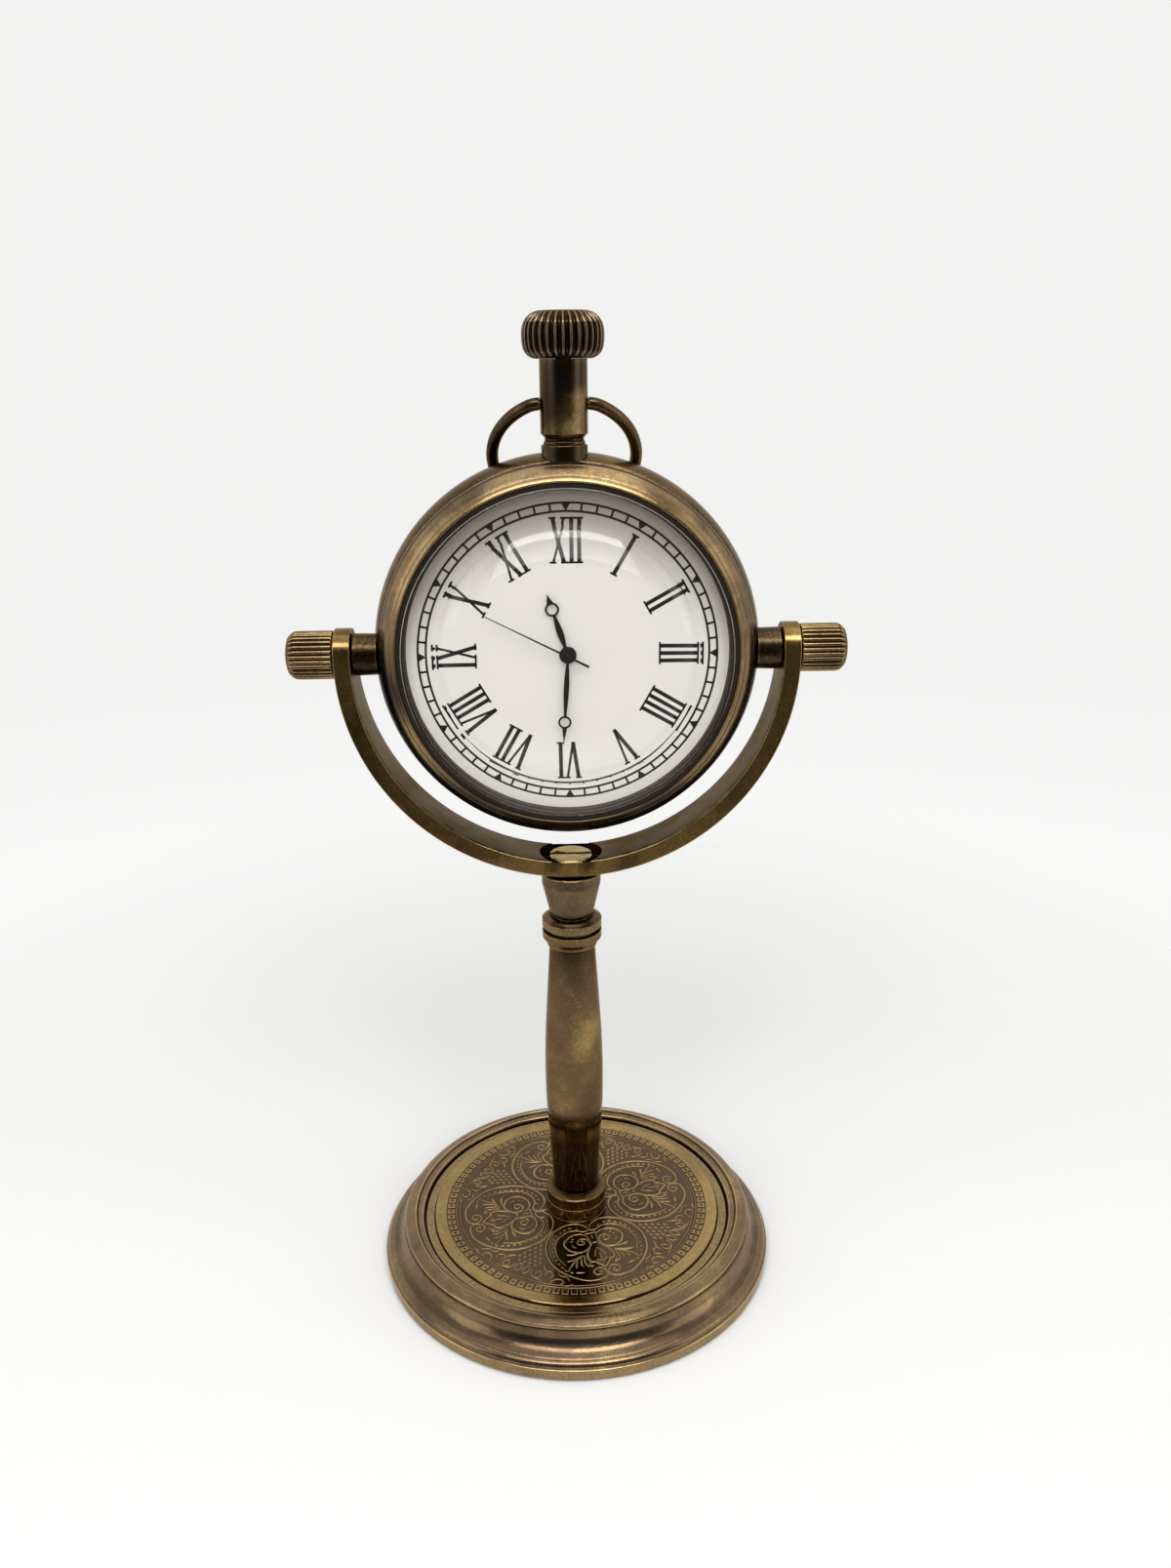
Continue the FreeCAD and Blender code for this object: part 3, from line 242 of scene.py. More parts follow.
def slab(name, loops, thickness, bevel, place, inside, extra=(), steps=3):
    """A plate with rounded edges. loops[0] is its outline and the others are holes right through it.
    place(points, t) puts plate points at height t and gives positions and the three local axes."""
    verts, norms, faces, edge = [], [], [], []
    loops = [np.array(loop, float) for loop in loops]
    outward = [loop_normals(loop) * (-1 if number else 1) for number, loop in enumerate(loops)]

    def add(points, t, normal2, along, value):
        position, (s_axis, w_axis, t_axis) = place(points, t)
        first = sum(map(len, verts))
        verts.append(position)
        norms.append(s_axis * normal2[:, :1] + w_axis * normal2[:, 1:2] + t_axis * along)
        edge.append(np.full(len(points), value))
        return list(range(first, first + len(points)))

    for loop, n2 in zip(loops, outward):
        rows = {-1: [], 1: []}
        for up, row in rows.items():
            for k in range(steps + 1):
                a = math.pi / 2 * k / steps
                rise = bevel * (1 - math.cos(a))
                t = thickness - rise if up > 0 else rise
                points = loop - n2 * bevel * (1 - math.sin(a))
                value = math.sin(2 * a) if k else 0.25
                row.append(add(points, t, n2 * math.sin(a), math.cos(a) * up, value))
        for row in rows.values():
            for a, b in zip(row, row[1:]):
                faces.extend(join(a, b))
        faces.extend(join(rows[-1][-1], rows[1][-1]))
    found, tris = fill([loop - n2 * bevel for loop, n2 in zip(loops, outward)], inside, extra)
    for t, up in ((0.0, -1.0), (thickness, 1.0)):
        ids = add(found, t, np.zeros((len(found), 2)), up, 0.0)
        faces.extend([[ids[k] for k in f] for f in tris])
    verts, norms = np.concatenate(verts), np.concatenate(norms)
    turn = np.stack([verts[:, 2] * 0.1, verts[:, 0] * 0.1, verts[:, 1]], -1)
    return build(name, verts, oriented(verts, norms, faces), norms, turn, np.concatenate(edge))


def circle(radius, count, centre=(0.0, 0.0), start=0.0, sweep=2 * math.pi):
    """Points round a circle, or along a part of it with both its ends."""
    full = abs(sweep) > 6.28
    a = start + sweep * np.arange(count) / (count if full else count - 1)
    return np.array(centre) + radius * np.stack([np.cos(a), np.sin(a)], 1)


# ---- materials
class Nodes:
    """Short calls for the nodes of one tree."""

    def __init__(self, tree):
        self.tree = tree
        tree.nodes.clear()

    def make(self, kind, **values):
        node = self.tree.nodes.new(kind)
        for key, value in values.items():
            setattr(node, key, value)
        return node

    def put(self, node, inputs):
        """Sets or links a node's inputs, given by their names or numbers."""
        for key, value in inputs.items():
            socket = node.inputs[key]
            if isinstance(value, tuple):
                socket.default_value = value if len(socket.default_value) == 3 else (*value, 1.0)
            elif isinstance(value, (int, float)):
                socket.default_value = value
            else:
                self.tree.links.new(value, socket)

    def add_node(self, kind, inputs, result=0, **values):
        """Makes a node, sets its inputs and gives one of its outputs."""
        node = self.make(kind, **values)
        self.put(node, inputs)
        return node.outputs[result]

    def coords(self):
        """The place on the piece, in millimetres."""
        return self.scale(self.make("ShaderNodeTexCoord").outputs["Object"], 1000)

    def split(self, vector):
        node = self.make("ShaderNodeSeparateXYZ")
        self.put(node, {0: vector})
        return tuple(node.outputs)

    def attribute(self, name, kind="Fac"):
        return self.make("ShaderNodeAttribute", attribute_name=name).outputs[kind]

    def noise(self, vector, scale, detail=4.0, rough=0.5, distortion=0.0):
        inputs = {"Vector": vector, "Scale": scale, "Detail": detail, "Roughness": rough,
                  "Distortion": distortion}
        return self.add_node("ShaderNodeTexNoise", inputs, "Fac")

    def ramp(self, value, low, high, out_low=0.0, out_high=1.0, smooth=True):
        inputs = {"Value": value, "From Min": low, "From Max": high, "To Min": out_low, "To Max": out_high}
        kind = "SMOOTHSTEP" if smooth else "LINEAR"
        return self.add_node("ShaderNodeMapRange", inputs, "Result", interpolation_type=kind)

    def math(self, kind, a, b=0.0):
        return self.add_node("ShaderNodeMath", {0: a, 1: b}, operation=kind)

    def mul(self, a, b):
        return self.math("MULTIPLY", a, b)

    def most(self, a, b):
        return self.math("MAXIMUM", a, b)

    def add(self, total, *terms):
        for term in terms:
            total = self.math("ADD", total, term)
        return total

    def mix(self, factor, a, b):
        """A blend of two colours."""
        return self.add_node("ShaderNodeMix", {0: factor, 6: a, 7: b}, 2, data_type="RGBA")

    def blend(self, factor, a, b):
        """A blend of two numbers."""
        return self.add_node("ShaderNodeMix", {0: factor, 2: a, 3: b}, 0, data_type="FLOAT")

    def scale(self, vector, factor):
        return self.add_node("ShaderNodeVectorMath", {0: vector, "Scale": factor}, operation="SCALE")

    def stretch(self, vector, factors):
        return self.add_node("ShaderNodeVectorMath", {0: vector, 1: factors}, operation="MULTIPLY")

    def length(self, vector):
        return self.add_node("ShaderNodeVectorMath", {0: vector}, "Value", operation="LENGTH")

    def bump(self, height, strength, distance, normal=None):
        """Relief of a distance in millimetres, on top of another relief."""
        inputs = {"Strength": strength, "Distance": distance * MM, "Height": height}
        if normal is not None:
            inputs["Normal"] = normal
        return self.add_node("ShaderNodeBump", inputs)

    def clear_where(self, factor, shader, colour=(1.0, 1.0, 1.0)):
        """Gives the shader to the output, and lets rays go straight through where factor is 1."""
        clear = self.add_node("ShaderNodeBsdfTransparent", {0: colour})
        both = self.add_node("ShaderNodeMixShader", {0: factor, 1: shader.outputs[0], 2: clear})
        self.put(self.output, {0: both})


def new_material(name):
    """A material, its nodes, its shader and the place on the piece."""
    material = bpy.data.materials.new(name)
    material.use_nodes = True
    k = Nodes(material.node_tree)
    shader = k.make("ShaderNodeBsdfPrincipled")
    k.output = k.make("ShaderNodeOutputMaterial")
    k.put(k.output, {0: shader.outputs[0]})
    return material, k, shader, k.coords()


def patches(k, place, spots):
    """1 inside round patches given as (x, y, z, radius) in millimetres, fading out towards their edges."""
    total = 0.0
    for *centre, radius in spots:
        offset = k.add_node("ShaderNodeVectorMath", {0: place, 1: tuple(centre)}, operation="SUBTRACT")
        total = k.add(total, k.ramp(k.length(offset), 0.0, radius, 1.0, 0.0))
    return total


LACQUER_TINT = (0.62, 0.52, 0.40)
GRIME_AND_SHADE = (0.012, 0.007, 0.004)


def brass(name, dark, mid, gold, rub=0.4, lathe=1.0, roughness=0.22, coat=0.45, shade_and_grime=1.0, edge_gold=0.8,
          grain=1.0, reach=1.2, golden=(), shade_spots=(), gloss=0.10, chatter=0.0):
    """Aged brass: brown patina, rubbed golden patches that also stand for painted highlights, painted shade
    patches, lathe lines, bright worn edges, hollows darkened as painted shade and grime, lacquer.
    """
    material, k, shader, place = new_material(name)
    tone, edge, turn = k.attribute("tone"), k.attribute("edge"), k.attribute("turn", "Vector")
    cloud = k.noise(place, 0.075, 3.0, 0.5)
    patch = k.noise(place, 0.24, 5.0, 0.6, 0.5)
    speck = k.noise(place, 2.4, 4.0, 0.65)
    micro = k.noise(place, 7.5, 3.0, 0.7)
    lines = k.noise(k.stretch(turn, (11.0, 0.7, 0.7)), 1.0, 3.0, 0.6)
    # Spots of rubbed brass that also stand for painted highlights, and spots of painted shade.
    rub_and_highlight, painted_shade = patches(k, place, golden), patches(k, place, shade_spots)

    # patina, then rubbed patches with painted highlights and painted shade patches, then fine variation,
    # then bright
    #     worn edges, then painted shade and grime in the hollows
    level = k.add(k.mul(cloud, 0.6), k.mul(patch, 0.4), k.mul(tone, 0.22), k.mul(rub_and_highlight, 0.17),
                  k.mul(painted_shade, -0.22))
    colour = k.mix(k.ramp(level, 0.38, 0.60), dark, mid)
    rubbed = k.ramp(k.add(level, k.mul(speck, 0.14)), 0.68 - 0.10 * rub, 0.96 - 0.10 * rub)
    fine = k.ramp(speck, 0.30, 0.72, 0.80, 1.18, smooth=False)
    dots = k.ramp(micro, 0.30, 0.70, 1.0 - 0.10 * grain, 1.0 + 0.14 * grain, smooth=False)
    streak = k.ramp(lines, 0.25, 0.75, 1.0 - 0.20 * lathe, 1.0 + 0.20 * lathe, smooth=False)
    colour = k.scale(k.mix(rubbed, colour, gold), k.mul(k.mul(fine, dots), streak))
    worn = k.ramp(k.add(edge, k.mul(speck, 0.5)), 0.45, 0.95)
    colour = k.mix(k.mul(worn, edge_gold), colour, tuple(min(1.0, c * 1.2) for c in gold))
    # Painted shade and grime: darker, with thinner lacquer, where the AO node finds the surface hemmed in
    # and in the hollow corners of the outline.
    open_sky = k.add_node("ShaderNodeAmbientOcclusion", {"Distance": reach * MM}, "AO", samples=6)
    hollow = k.most(k.ramp(open_sky, 0.25, 0.85, 1.0, 0.0), k.ramp(k.mul(edge, -1.0), 0.05, 0.6))
    shaded_and_grimy = k.most(k.mul(hollow, 0.85 * shade_and_grime), k.mul(painted_shade, 0.55))

    matt = k.ramp(k.add(k.mul(lines, 0.4 * lathe), speck), 0.3, 1.1, roughness - 0.06, roughness + 0.10)
    matt = k.add(matt, k.mul(tone, 0.07), k.mul(rub_and_highlight, 0.16))
    skin = k.bump(speck, 0.16 * grain, 0.04, k.bump(lines, 0.08 * lathe, 0.03))
    if chatter:
        marks = k.noise(k.stretch(turn, (7.0, 42.0, 42.0)), 1.0, 2.0, 0.6)
        skin = k.bump(marks, chatter, 0.06, skin)
    k.put(shader, {
        "Base Color": k.mix(shaded_and_grimy, colour, GRIME_AND_SHADE), "Metallic": 1.0, "Roughness": k.most(matt, 0.07),
        "Coat Weight": k.ramp(shaded_and_grimy, 0.2, 0.9, coat, coat * 0.25), "Coat Roughness": gloss,
        "Specular Tint": LACQUER_TINT, "Coat IOR": 1.45, "Coat Normal": skin,
        "Normal": k.bump(micro, 0.24 * grain, 0.02, k.bump(lines, 0.20 * lathe, 0.03)),
    })
    return material


def plain(name, colour, roughness, metallic=0.0, scale=3.0, spread=0.15, bump=0.1, distance=0.02, coat=0.0,
          gleam=0.5):
    """A quiet painted, moulded or metal surface with fine variation of colour, gloss and relief."""
    material, k, shader, place = new_material(name)
    fine = k.noise(place, scale, 4.0, 0.6)
    shade = k.add(k.ramp(k.noise(place, scale * 0.12, 3.0), 0.3, 0.7, 1 - spread, 1 + spread, False),
                  k.ramp(fine, 0.3, 0.7, -spread / 2, spread / 2, False))
    matt = k.ramp(fine, 0.3, 0.7, roughness * 0.85, min(1.0, roughness * 1.15), False)
    k.put(shader, {"Base Color": k.scale(colour, shade), "Metallic": metallic, "Roughness": matt,
                   "Coat Weight": coat, "Specular IOR Level": gleam, "Normal": k.bump(fine, bump, distance)})
    return material


def enamel_material():
    """White enamel with a painted shadow: a soft crescent of shade along its upper edge, where the bezel
    shades it.
    """
    material, k, shader, place = new_material("enamel_white")
    x, _, z = k.split(place)
    fine = k.noise(place, 2.0, 4.0, 0.6)
    # Painted shadow of the bezel: the enamel turns grey-brown beyond a circle centred 8 mm below the middle
    # of the dial.
    height = k.math("SUBTRACT", z, PIVOT - 8.0)
    away = k.math("SQRT", k.add(k.mul(height, height), k.mul(x, x)))
    shade = k.ramp(k.add(away, k.mul(k.noise(place, 0.24, 3.0), 2.0)), 20.0, 27.5)
    k.put(shader, {"Base Color": k.mix(shade, (0.86, 0.835, 0.797), (0.36, 0.325, 0.285)),
                   "Roughness": k.ramp(fine, 0.3, 0.7, 0.38, 0.48), "Normal": k.bump(fine, 0.04, 0.02)})
    return material


def felt_material():
    """Green felt with a short pile."""
    material, k, shader, place = new_material("felt_pile")
    fibre = k.noise(place, 6.0, 6.0, 0.75, 1.5)
    k.put(shader, {"Base Color": k.mix(fibre, (0.012, 0.035, 0.018), (0.05, 0.12, 0.07)), "Roughness": 0.95,
                   "Sheen Weight": 0.5, "Normal": k.bump(fibre, 0.8, 0.15)})
    return material


def glass_material():
    """Clear mineral glass that lets the light through to the dial."""
    material, k, shader, place = new_material("crystal_glass")
    smear = k.ramp(k.noise(place, 0.35, 3.0, 0.5, 1.0), 0.45, 0.75, 0.0, 0.035)
    k.put(shader, {"Roughness": smear, "Base Color": (0.995, 0.992, 0.985), "Transmission Weight": 1.0,
                   "IOR": 1.50})
    ray = k.make("ShaderNodeLightPath").outputs
    k.clear_where(k.most(ray["Is Shadow Ray"], ray["Is Diffuse Ray"]), shader, (0.95, 0.945, 0.94))
    return material


# Linear colours of the patina, the plain brass and the rubbed brass.
DARK, MID, GOLD = (0.060, 0.030, 0.010), (0.245, 0.155, 0.058), (0.46, 0.31, 0.115)
AMBER = (0.085, 0.042, 0.012)
PALE_GOLD = (0.48, 0.34, 0.13)

# Patches of painted shade, and patches of rubbed brass that also stand for painted highlights, as (x, y, z,
# radius) in millimetres.
# Painted shade: darker on the lower part of the case over the yoke, on its left side and on the two bosses.
CASE_SHADE = ((0, -4, 69.5, 17), (-13, -4, 73, 13), (13, -4, 73, 13), (-24, -3, 88, 9),
              (-26.5, -2, 92.3, 4.5), (26.5, -2, 92.3, 4.5))
# Rubbed brass and painted highlight: lighter and rougher on the front right of the neck, where the light
# falls.
NECK_RUB_AND_HIGHLIGHT = ((1.7, -2.6, 122.2, 4.4), (0.4, -2.9, 120.2, 2.6))
# Painted shade: darker on the left of the neck, under the crown and at its foot.
NECK_SHADE = ((-2.6, -1.6, 123.5, 5.0), (0, -2.9, 127.8, 3.6), (0, -2.9, 116.6, 3.6))
# Rubbed brass and painted highlight: lighter and rougher on the front of the column.
COLUMN_RUB_AND_HIGHLIGHT = ((2.2, -3.3, 38.6, 4.4), (1.4, -3.7, 36.0, 3.0), (-1.5, -3.9, 26.0, 4.0))

M_CASE = brass("brass_case_aged", DARK, MID, GOLD, lathe=0.7, roughness=0.19, coat=0.9,
               shade_spots=CASE_SHADE, chatter=0.6)
M_BAND = brass("brass_band_aged", (0.045, 0.025, 0.010), (0.12, 0.075, 0.030), GOLD, rub=0.3, lathe=0.9,
               roughness=0.30, coat=0.25, shade_spots=CASE_SHADE)
M_NECK = brass("brass_neck_aged", (0.045, 0.023, 0.008), (0.14, 0.086, 0.032), PALE_GOLD, lathe=0.7,
               coat=0.4, golden=NECK_RUB_AND_HIGHLIGHT, shade_spots=NECK_SHADE, edge_gold=0.15)
M_CROWN = brass("brass_crown_aged", (0.065, 0.038, 0.018), (0.100, 0.064, 0.032), (0.22, 0.158, 0.088),
                rub=0.2, lathe=0.2, coat=0.35, edge_gold=0.5)
M_COLUMN = brass("brass_column_aged", AMBER, (0.138, 0.088, 0.037), (0.40, 0.265, 0.085), rub=0.5, lathe=0.8,
                 roughness=0.24, coat=0.28, golden=COLUMN_RUB_AND_HIGHLIGHT, edge_gold=0.35)
M_CONE = brass("brass_cone_lacquered", AMBER, (0.135, 0.072, 0.021), (0.32, 0.20, 0.06), rub=0.3, lathe=0.25,
               roughness=0.12, grain=0.5, coat=0.9, gloss=0.06, edge_gold=0.3)
M_CUP = brass("brass_cup_aged", (0.070, 0.045, 0.022), (0.128, 0.088, 0.048), GOLD, rub=0.3, lathe=0.8,
              roughness=0.26, coat=0.3, edge_gold=0.4)
M_YOKE = brass("brass_yoke_aged", (0.105, 0.058, 0.016), (0.27, 0.165, 0.048), (0.46, 0.32, 0.11), rub=0.3,
               lathe=0.2)
M_YOKE_INNER = brass("brass_yoke_inner", (0.070, 0.052, 0.038), (0.150, 0.126, 0.103), (0.22, 0.18, 0.13),
                     rub=0.3, lathe=0.3, roughness=0.38, coat=0.1, grain=1.6, reach=0.8)
M_KNOB = brass("brass_knob_aged", (0.080, 0.046, 0.017), (0.165, 0.106, 0.043), (0.36, 0.25, 0.10), rub=0.5,
               lathe=0.2, edge_gold=0.6, grain=0.3)
M_BASE = brass("brass_base_aged", (0.075, 0.040, 0.015), (0.175, 0.110, 0.046), (0.40, 0.275, 0.105),
               roughness=0.13, grain=0.6, coat=0.8, chatter=0.8)
M_PLATE = brass("brass_plate_ground", (0.100, 0.058, 0.024), (0.135, 0.083, 0.035), (0.19, 0.12, 0.048),
                rub=0.3, lathe=0.15, roughness=0.13, coat=0.6, reach=0.30, grain=0.5)
M_ORNAMENT = brass("brass_ornament_lines", (0.19, 0.122, 0.044), (0.27, 0.180, 0.068), (0.42, 0.29, 0.12),
                   lathe=0.0, roughness=0.20, coat=0.5, shade_and_grime=0.7, reach=0.25, grain=0.6, edge_gold=0.25)
M_RIM = brass("brass_rim_golden", (0.25, 0.158, 0.052), (0.36, 0.240, 0.082), PALE_GOLD, lathe=0.7,
              roughness=0.15, coat=0.6)
M_SCREW = brass("brass_screw_bright", (0.36, 0.26, 0.12), (0.52, 0.39, 0.18), (0.66, 0.52, 0.27), lathe=0.6,
                roughness=0.28, shade_and_grime=0.6)
M_BRIGHT = brass("brass_works_bright", (0.60, 0.46, 0.22), (0.70, 0.55, 0.28), (0.75, 0.60, 0.32), rub=0.3,
                 lathe=0.2, shade_and_grime=0.2)
M_GLASS = glass_material()
M_BLACK = plain("paint_black_gloss", (0.008, 0.006, 0.005), 0.45, scale=5.0, spread=0.2, gleam=0.12)
M_INK = plain("ink_black", (0.010, 0.006, 0.005), 0.6, scale=8.0, spread=0.25, gleam=0.12)
M_DIAL = enamel_material()
M_GASKET = plain("rubber_black", (0.016, 0.010, 0.007), 0.5, scale=5.0, gleam=0.2)
M_FLANGE = plain("flange_bronze", (0.026, 0.014, 0.008), 0.5, scale=3.0, gleam=0.25)
M_STEEL = plain("steel_zinc", (0.55, 0.55, 0.56), 0.35, metallic=1.0, scale=4.0)
M_STEEL_FINE = plain("steel_ground", (0.66, 0.66, 0.67), 0.22, metallic=1.0, scale=9.0, spread=0.08)
M_CELL = plain("cell_nickel", (0.70, 0.70, 0.69), 0.28, metallic=1.0, scale=6.0, spread=0.08)
M_COIL = plain("copper_enamel", (0.50, 0.20, 0.09), 0.35, metallic=0.9, scale=9.0, bump=0.5, distance=0.05)
M_BOARD = plain("board_green", (0.02, 0.13, 0.06), 0.4, scale=4.0, coat=0.3)
M_PLASTIC = plain("plastic_white", (0.72, 0.72, 0.70), 0.5, scale=3.0, spread=0.05)
M_FELT = felt_material()


def finish_piece(obj, material, body, slot, *nodes):
    """Gives a piece its material, rides it on its body and stands it for the CAD nodes."""
    obj.data.materials.clear()
    obj.data.materials.append(material)
    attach(obj, body)
    if nodes:
        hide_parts(*nodes)
    return obj


def turn_piece(name, outline, material, body, slot, *nodes, **shape):
    """Turns a piece and finishes it."""
    return finish_piece(turned(name, outline, **shape), material, body, slot, *nodes)


# ---- base
def base_tone(r, h):
    """The base's bands: dark in the ring round the plate and low on the ogee, rubbed on crest and foot."""
    if r < 23.2:
        return -0.7
    if r < 25.0:
        return 0.35
    if r < 27.7:
        return 0.15 - 0.5 * (r > 26.8)
    return 0.25 if h > 1.2 else -0.1


def make_base():
    outline = [
        (0, 1.0), (26.45, 1.0), (26.45, 0.3), (29.0, 0.3), (29.0, 1.7), (28.75, 1.86),
        (28.0, 2.7, -0.2), (27.75, 2.86), (25.95, 6.02, 0.72), (25.72, 6.25), (24.55, 6.68, -0.06),
        (24.3, 6.75), (24.1, 6.42), (23.25, 6.22), (23.08, 5.98), (23.0, 5.45), (22.8, 5.45), (22.8, 5.75),
        (21.55, 5.75), (21.55, 4.9), (2.05, 4.9), (2.05, 3.6), (0, 3.6),
    ]
    turn_piece("base_turned", outline, M_BASE, *STAND, "base_body", segments=224, fillet=0.14,
               tone=base_tone)


def strokes_mesh(name, strokes, height, z):
    """Raised lines on the plate: each has points with a half width at each, and slopes down at its ends."""
    verts, faces, edge, norms = [], [], [], []
    # The feet of the strokes get negative edge values, which the brass darkens as painted shade and grime.
    rows = ((-1.0, 0.0, -0.95, 0.3, -0.9), (-0.62, 0.8, -0.5, 0.85, 0.25), (0.0, 1.0, 0.0, 1.0, 1.0),
            (0.62, 0.8, 0.5, 0.85, 0.25), (1.0, 0.0, 0.95, 0.3, -0.9))
    total = 0
    for line, half in strokes:
        line = np.array(line, float)
        half = np.broadcast_to(half, len(line)).astype(float)
        lead = (line[0] - line[1]) / max(np.linalg.norm(line[0] - line[1]), 1e-9)
        trail = (line[-1] - line[-2]) / max(np.linalg.norm(line[-1] - line[-2]), 1e-9)
        line = np.vstack([line[0] + lead * half[0] * 0.5, line, line[-1] + trail * half[-1] * 0.5])
        half = np.concatenate([[half[0] * 0.7], half, [half[-1] * 0.7]])
        lift = np.minimum(1.0, half / half.max() * 1.6) * height
        lift[0] = lift[-1] = 0.0
        d = np.gradient(line, axis=0)
        d /= np.maximum(np.linalg.norm(d, axis=1), 1e-9)[:, None]
        side = np.stack([-d[:, 1], d[:, 0]], 1)
        n = len(line)
        for across, up, ns, nz, value in rows:
            points = line + side * (half * across)[:, None]
            verts.append(np.column_stack([points, z + up * lift]))
            norms.append(np.column_stack([side * ns, np.full(n, nz)]))
            edge.append(np.full(n, value))
        for first in range(total, total + n * (len(rows) - 1), n):
            faces += join(range(first, first + n), range(first + n, first + 2 * n), closed=False)
        total += n * len(rows)
    verts, norms = np.concatenate(verts), np.concatenate(norms)
    return build(name, verts, oriented(verts, norms, faces), norms, None, np.concatenate(edge))


def spline(points, count=24):
    """A smooth line through a few points."""
    p = np.array(points, float)
    p = np.vstack([2 * p[0] - p[1], p, 2 * p[-1] - p[-2]])
    out = []
    per = max(3, count // (len(points) - 1))
    for i in range(1, len(p) - 2):
        for k in range(per):
            t = k / per
            a, b, c, d = p[i - 1:i + 3]
            square, cube = 2 * a - 5 * b + 4 * c - d, 3 * b - a - 3 * c + d
            out.append(0.5 * (2 * b + (c - a) * t + square * t * t + cube * t ** 3))
    out.append(p[-2])
    return np.array(out)


def leaf(base, tip, width, bend=0.0):
    """A small raised leaf: a stroke that swells and tapers."""
    base, tip = np.array(base, float), np.array(tip, float)
    t = np.linspace(0, 1, 14)
    run = tip - base
    side = np.array([-run[1], run[0]])
    line = base + np.outer(t, run) + np.outer(np.sin(math.pi * t) * bend, side)
    half = width / 2 * (0.25 + np.sin(math.pi * t ** 1.4) ** 0.8 * 0.9)
    half[-1] = 0.03
    return line, np.maximum(half, 0.03)


def dot(centre, radius):
    """A short round stroke for a grape or a bead."""
    t = np.linspace(-1, 1, 7)
    line = np.array(centre) + np.outer(t * radius, [1.0, 0.0])
    return line, radius * np.sqrt(np.maximum(0.04, 1 - t * t))


def unit(vector):
    """The vector at length 1."""
    return vector / max(np.linalg.norm(vector), 1e-9)


def square_dots(points, spacing, half):
    """Small square dots along a smooth line."""
    path = spline(points, 10 * len(points))
    run = np.concatenate([[0], np.cumsum(np.linalg.norm(np.diff(path, axis=0), axis=1))])
    count = int(run[-1] / spacing)

    def spot(at):
        return np.array([np.interp(at, run, path[:, 0]), np.interp(at, run, path[:, 1])])

    strokes = []
    for k in range(count + 1):
        at = (run[-1] - count * spacing) / 2 + k * spacing
        way = unit(spot(at + 0.1) - spot(at - 0.1)) * half * 0.7
        strokes.append((np.array([spot(at) - way, spot(at) + way]), half))
    return strokes


def tapered(points, start, middle, end, count=40):
    """A smooth stroke whose half width runs from start over middle to end."""
    line = spline(points, count)
    return line, np.interp(np.linspace(0, 1, len(line)), (0.0, 0.5, 1.0), (start, middle, end))


def mirrored(strokes, flip):
    """The strokes, and after them their mirror images."""
    return [(line * np.array(m), width) for m in ((1.0, 1.0), flip) for line, width in strokes]


# Half of a medallion, as (across, outward) from its middle, in millimetres.
FRAME_LINE = (
    (1.65, -5.0), (1.5, -4.4), (0.85, -4.0), (0.2, -4.15), (0.15, -4.8), (0.6, -5.4), (1.4, -5.95),
    (2.5, -6.17), (3.8, -5.92), (5.3, -5.08), (6.5, -3.55), (7.15, -1.9), (7.32, 0), (7.0, 1.8),
    (6.15, 3.42), (4.8, 4.92), (3.15, 6.0), (1.5, 6.2), (0.55, 5.95), (0.12, 5.3), (0.25, 4.55),
    (0.9, 4.0), (1.6, 4.15), (1.95, 4.7), (1.6, 5.25), (1.05, 5.2), (0.85, 4.8), (1.2, 4.62),
)
INNER_LINE = (
    (5.38, 2.1), (5.9, 0.7), (5.97, -0.45), (5.8, -1.75), (5.33, -3.0), (4.5, -3.95), (3.35, -4.55),
    (2.3, -4.62), (1.6, -4.4),
)
DOTTED_LINE = (
    (4.8, 3.85), (5.55, 3.3), (6.1, 1.85), (6.35, 0.3), (6.3, -0.9), (6.0, -2.1), (5.55, -3.4), (4.7, -4.4),
    (3.5, -5.15), (2.5, -5.3),
)
LEAF_LINE = (
    (0, 4.0), (0.73, 3.08), (1.07, 2.58), (1.65, 2.42), (1.9, 1.58), (1.57, 0.42), (0.98, -0.58),
    (0.48, -1.17),
)
BIG_SCROLL = (
    (0.65, -1.58), (0.9, -0.75), (1.65, -0.08), (2.48, 0.17), (3.15, -0.05), (3.9, -0.67), (4.32, -1.67),
    (4.18, -2.58), (3.48, -3.33), (2.48, -3.7), (1.48, -3.58), (0.98, -3.22),
)
SMALL_SCROLL = (
    (0.65, -1.58), (0.82, -2.08), (1.32, -2.5), (1.98, -2.5), (2.45, -1.92), (2.15, -1.42), (1.57, -1.42),
    (1.48, -1.92), (1.82, -2.08),
)


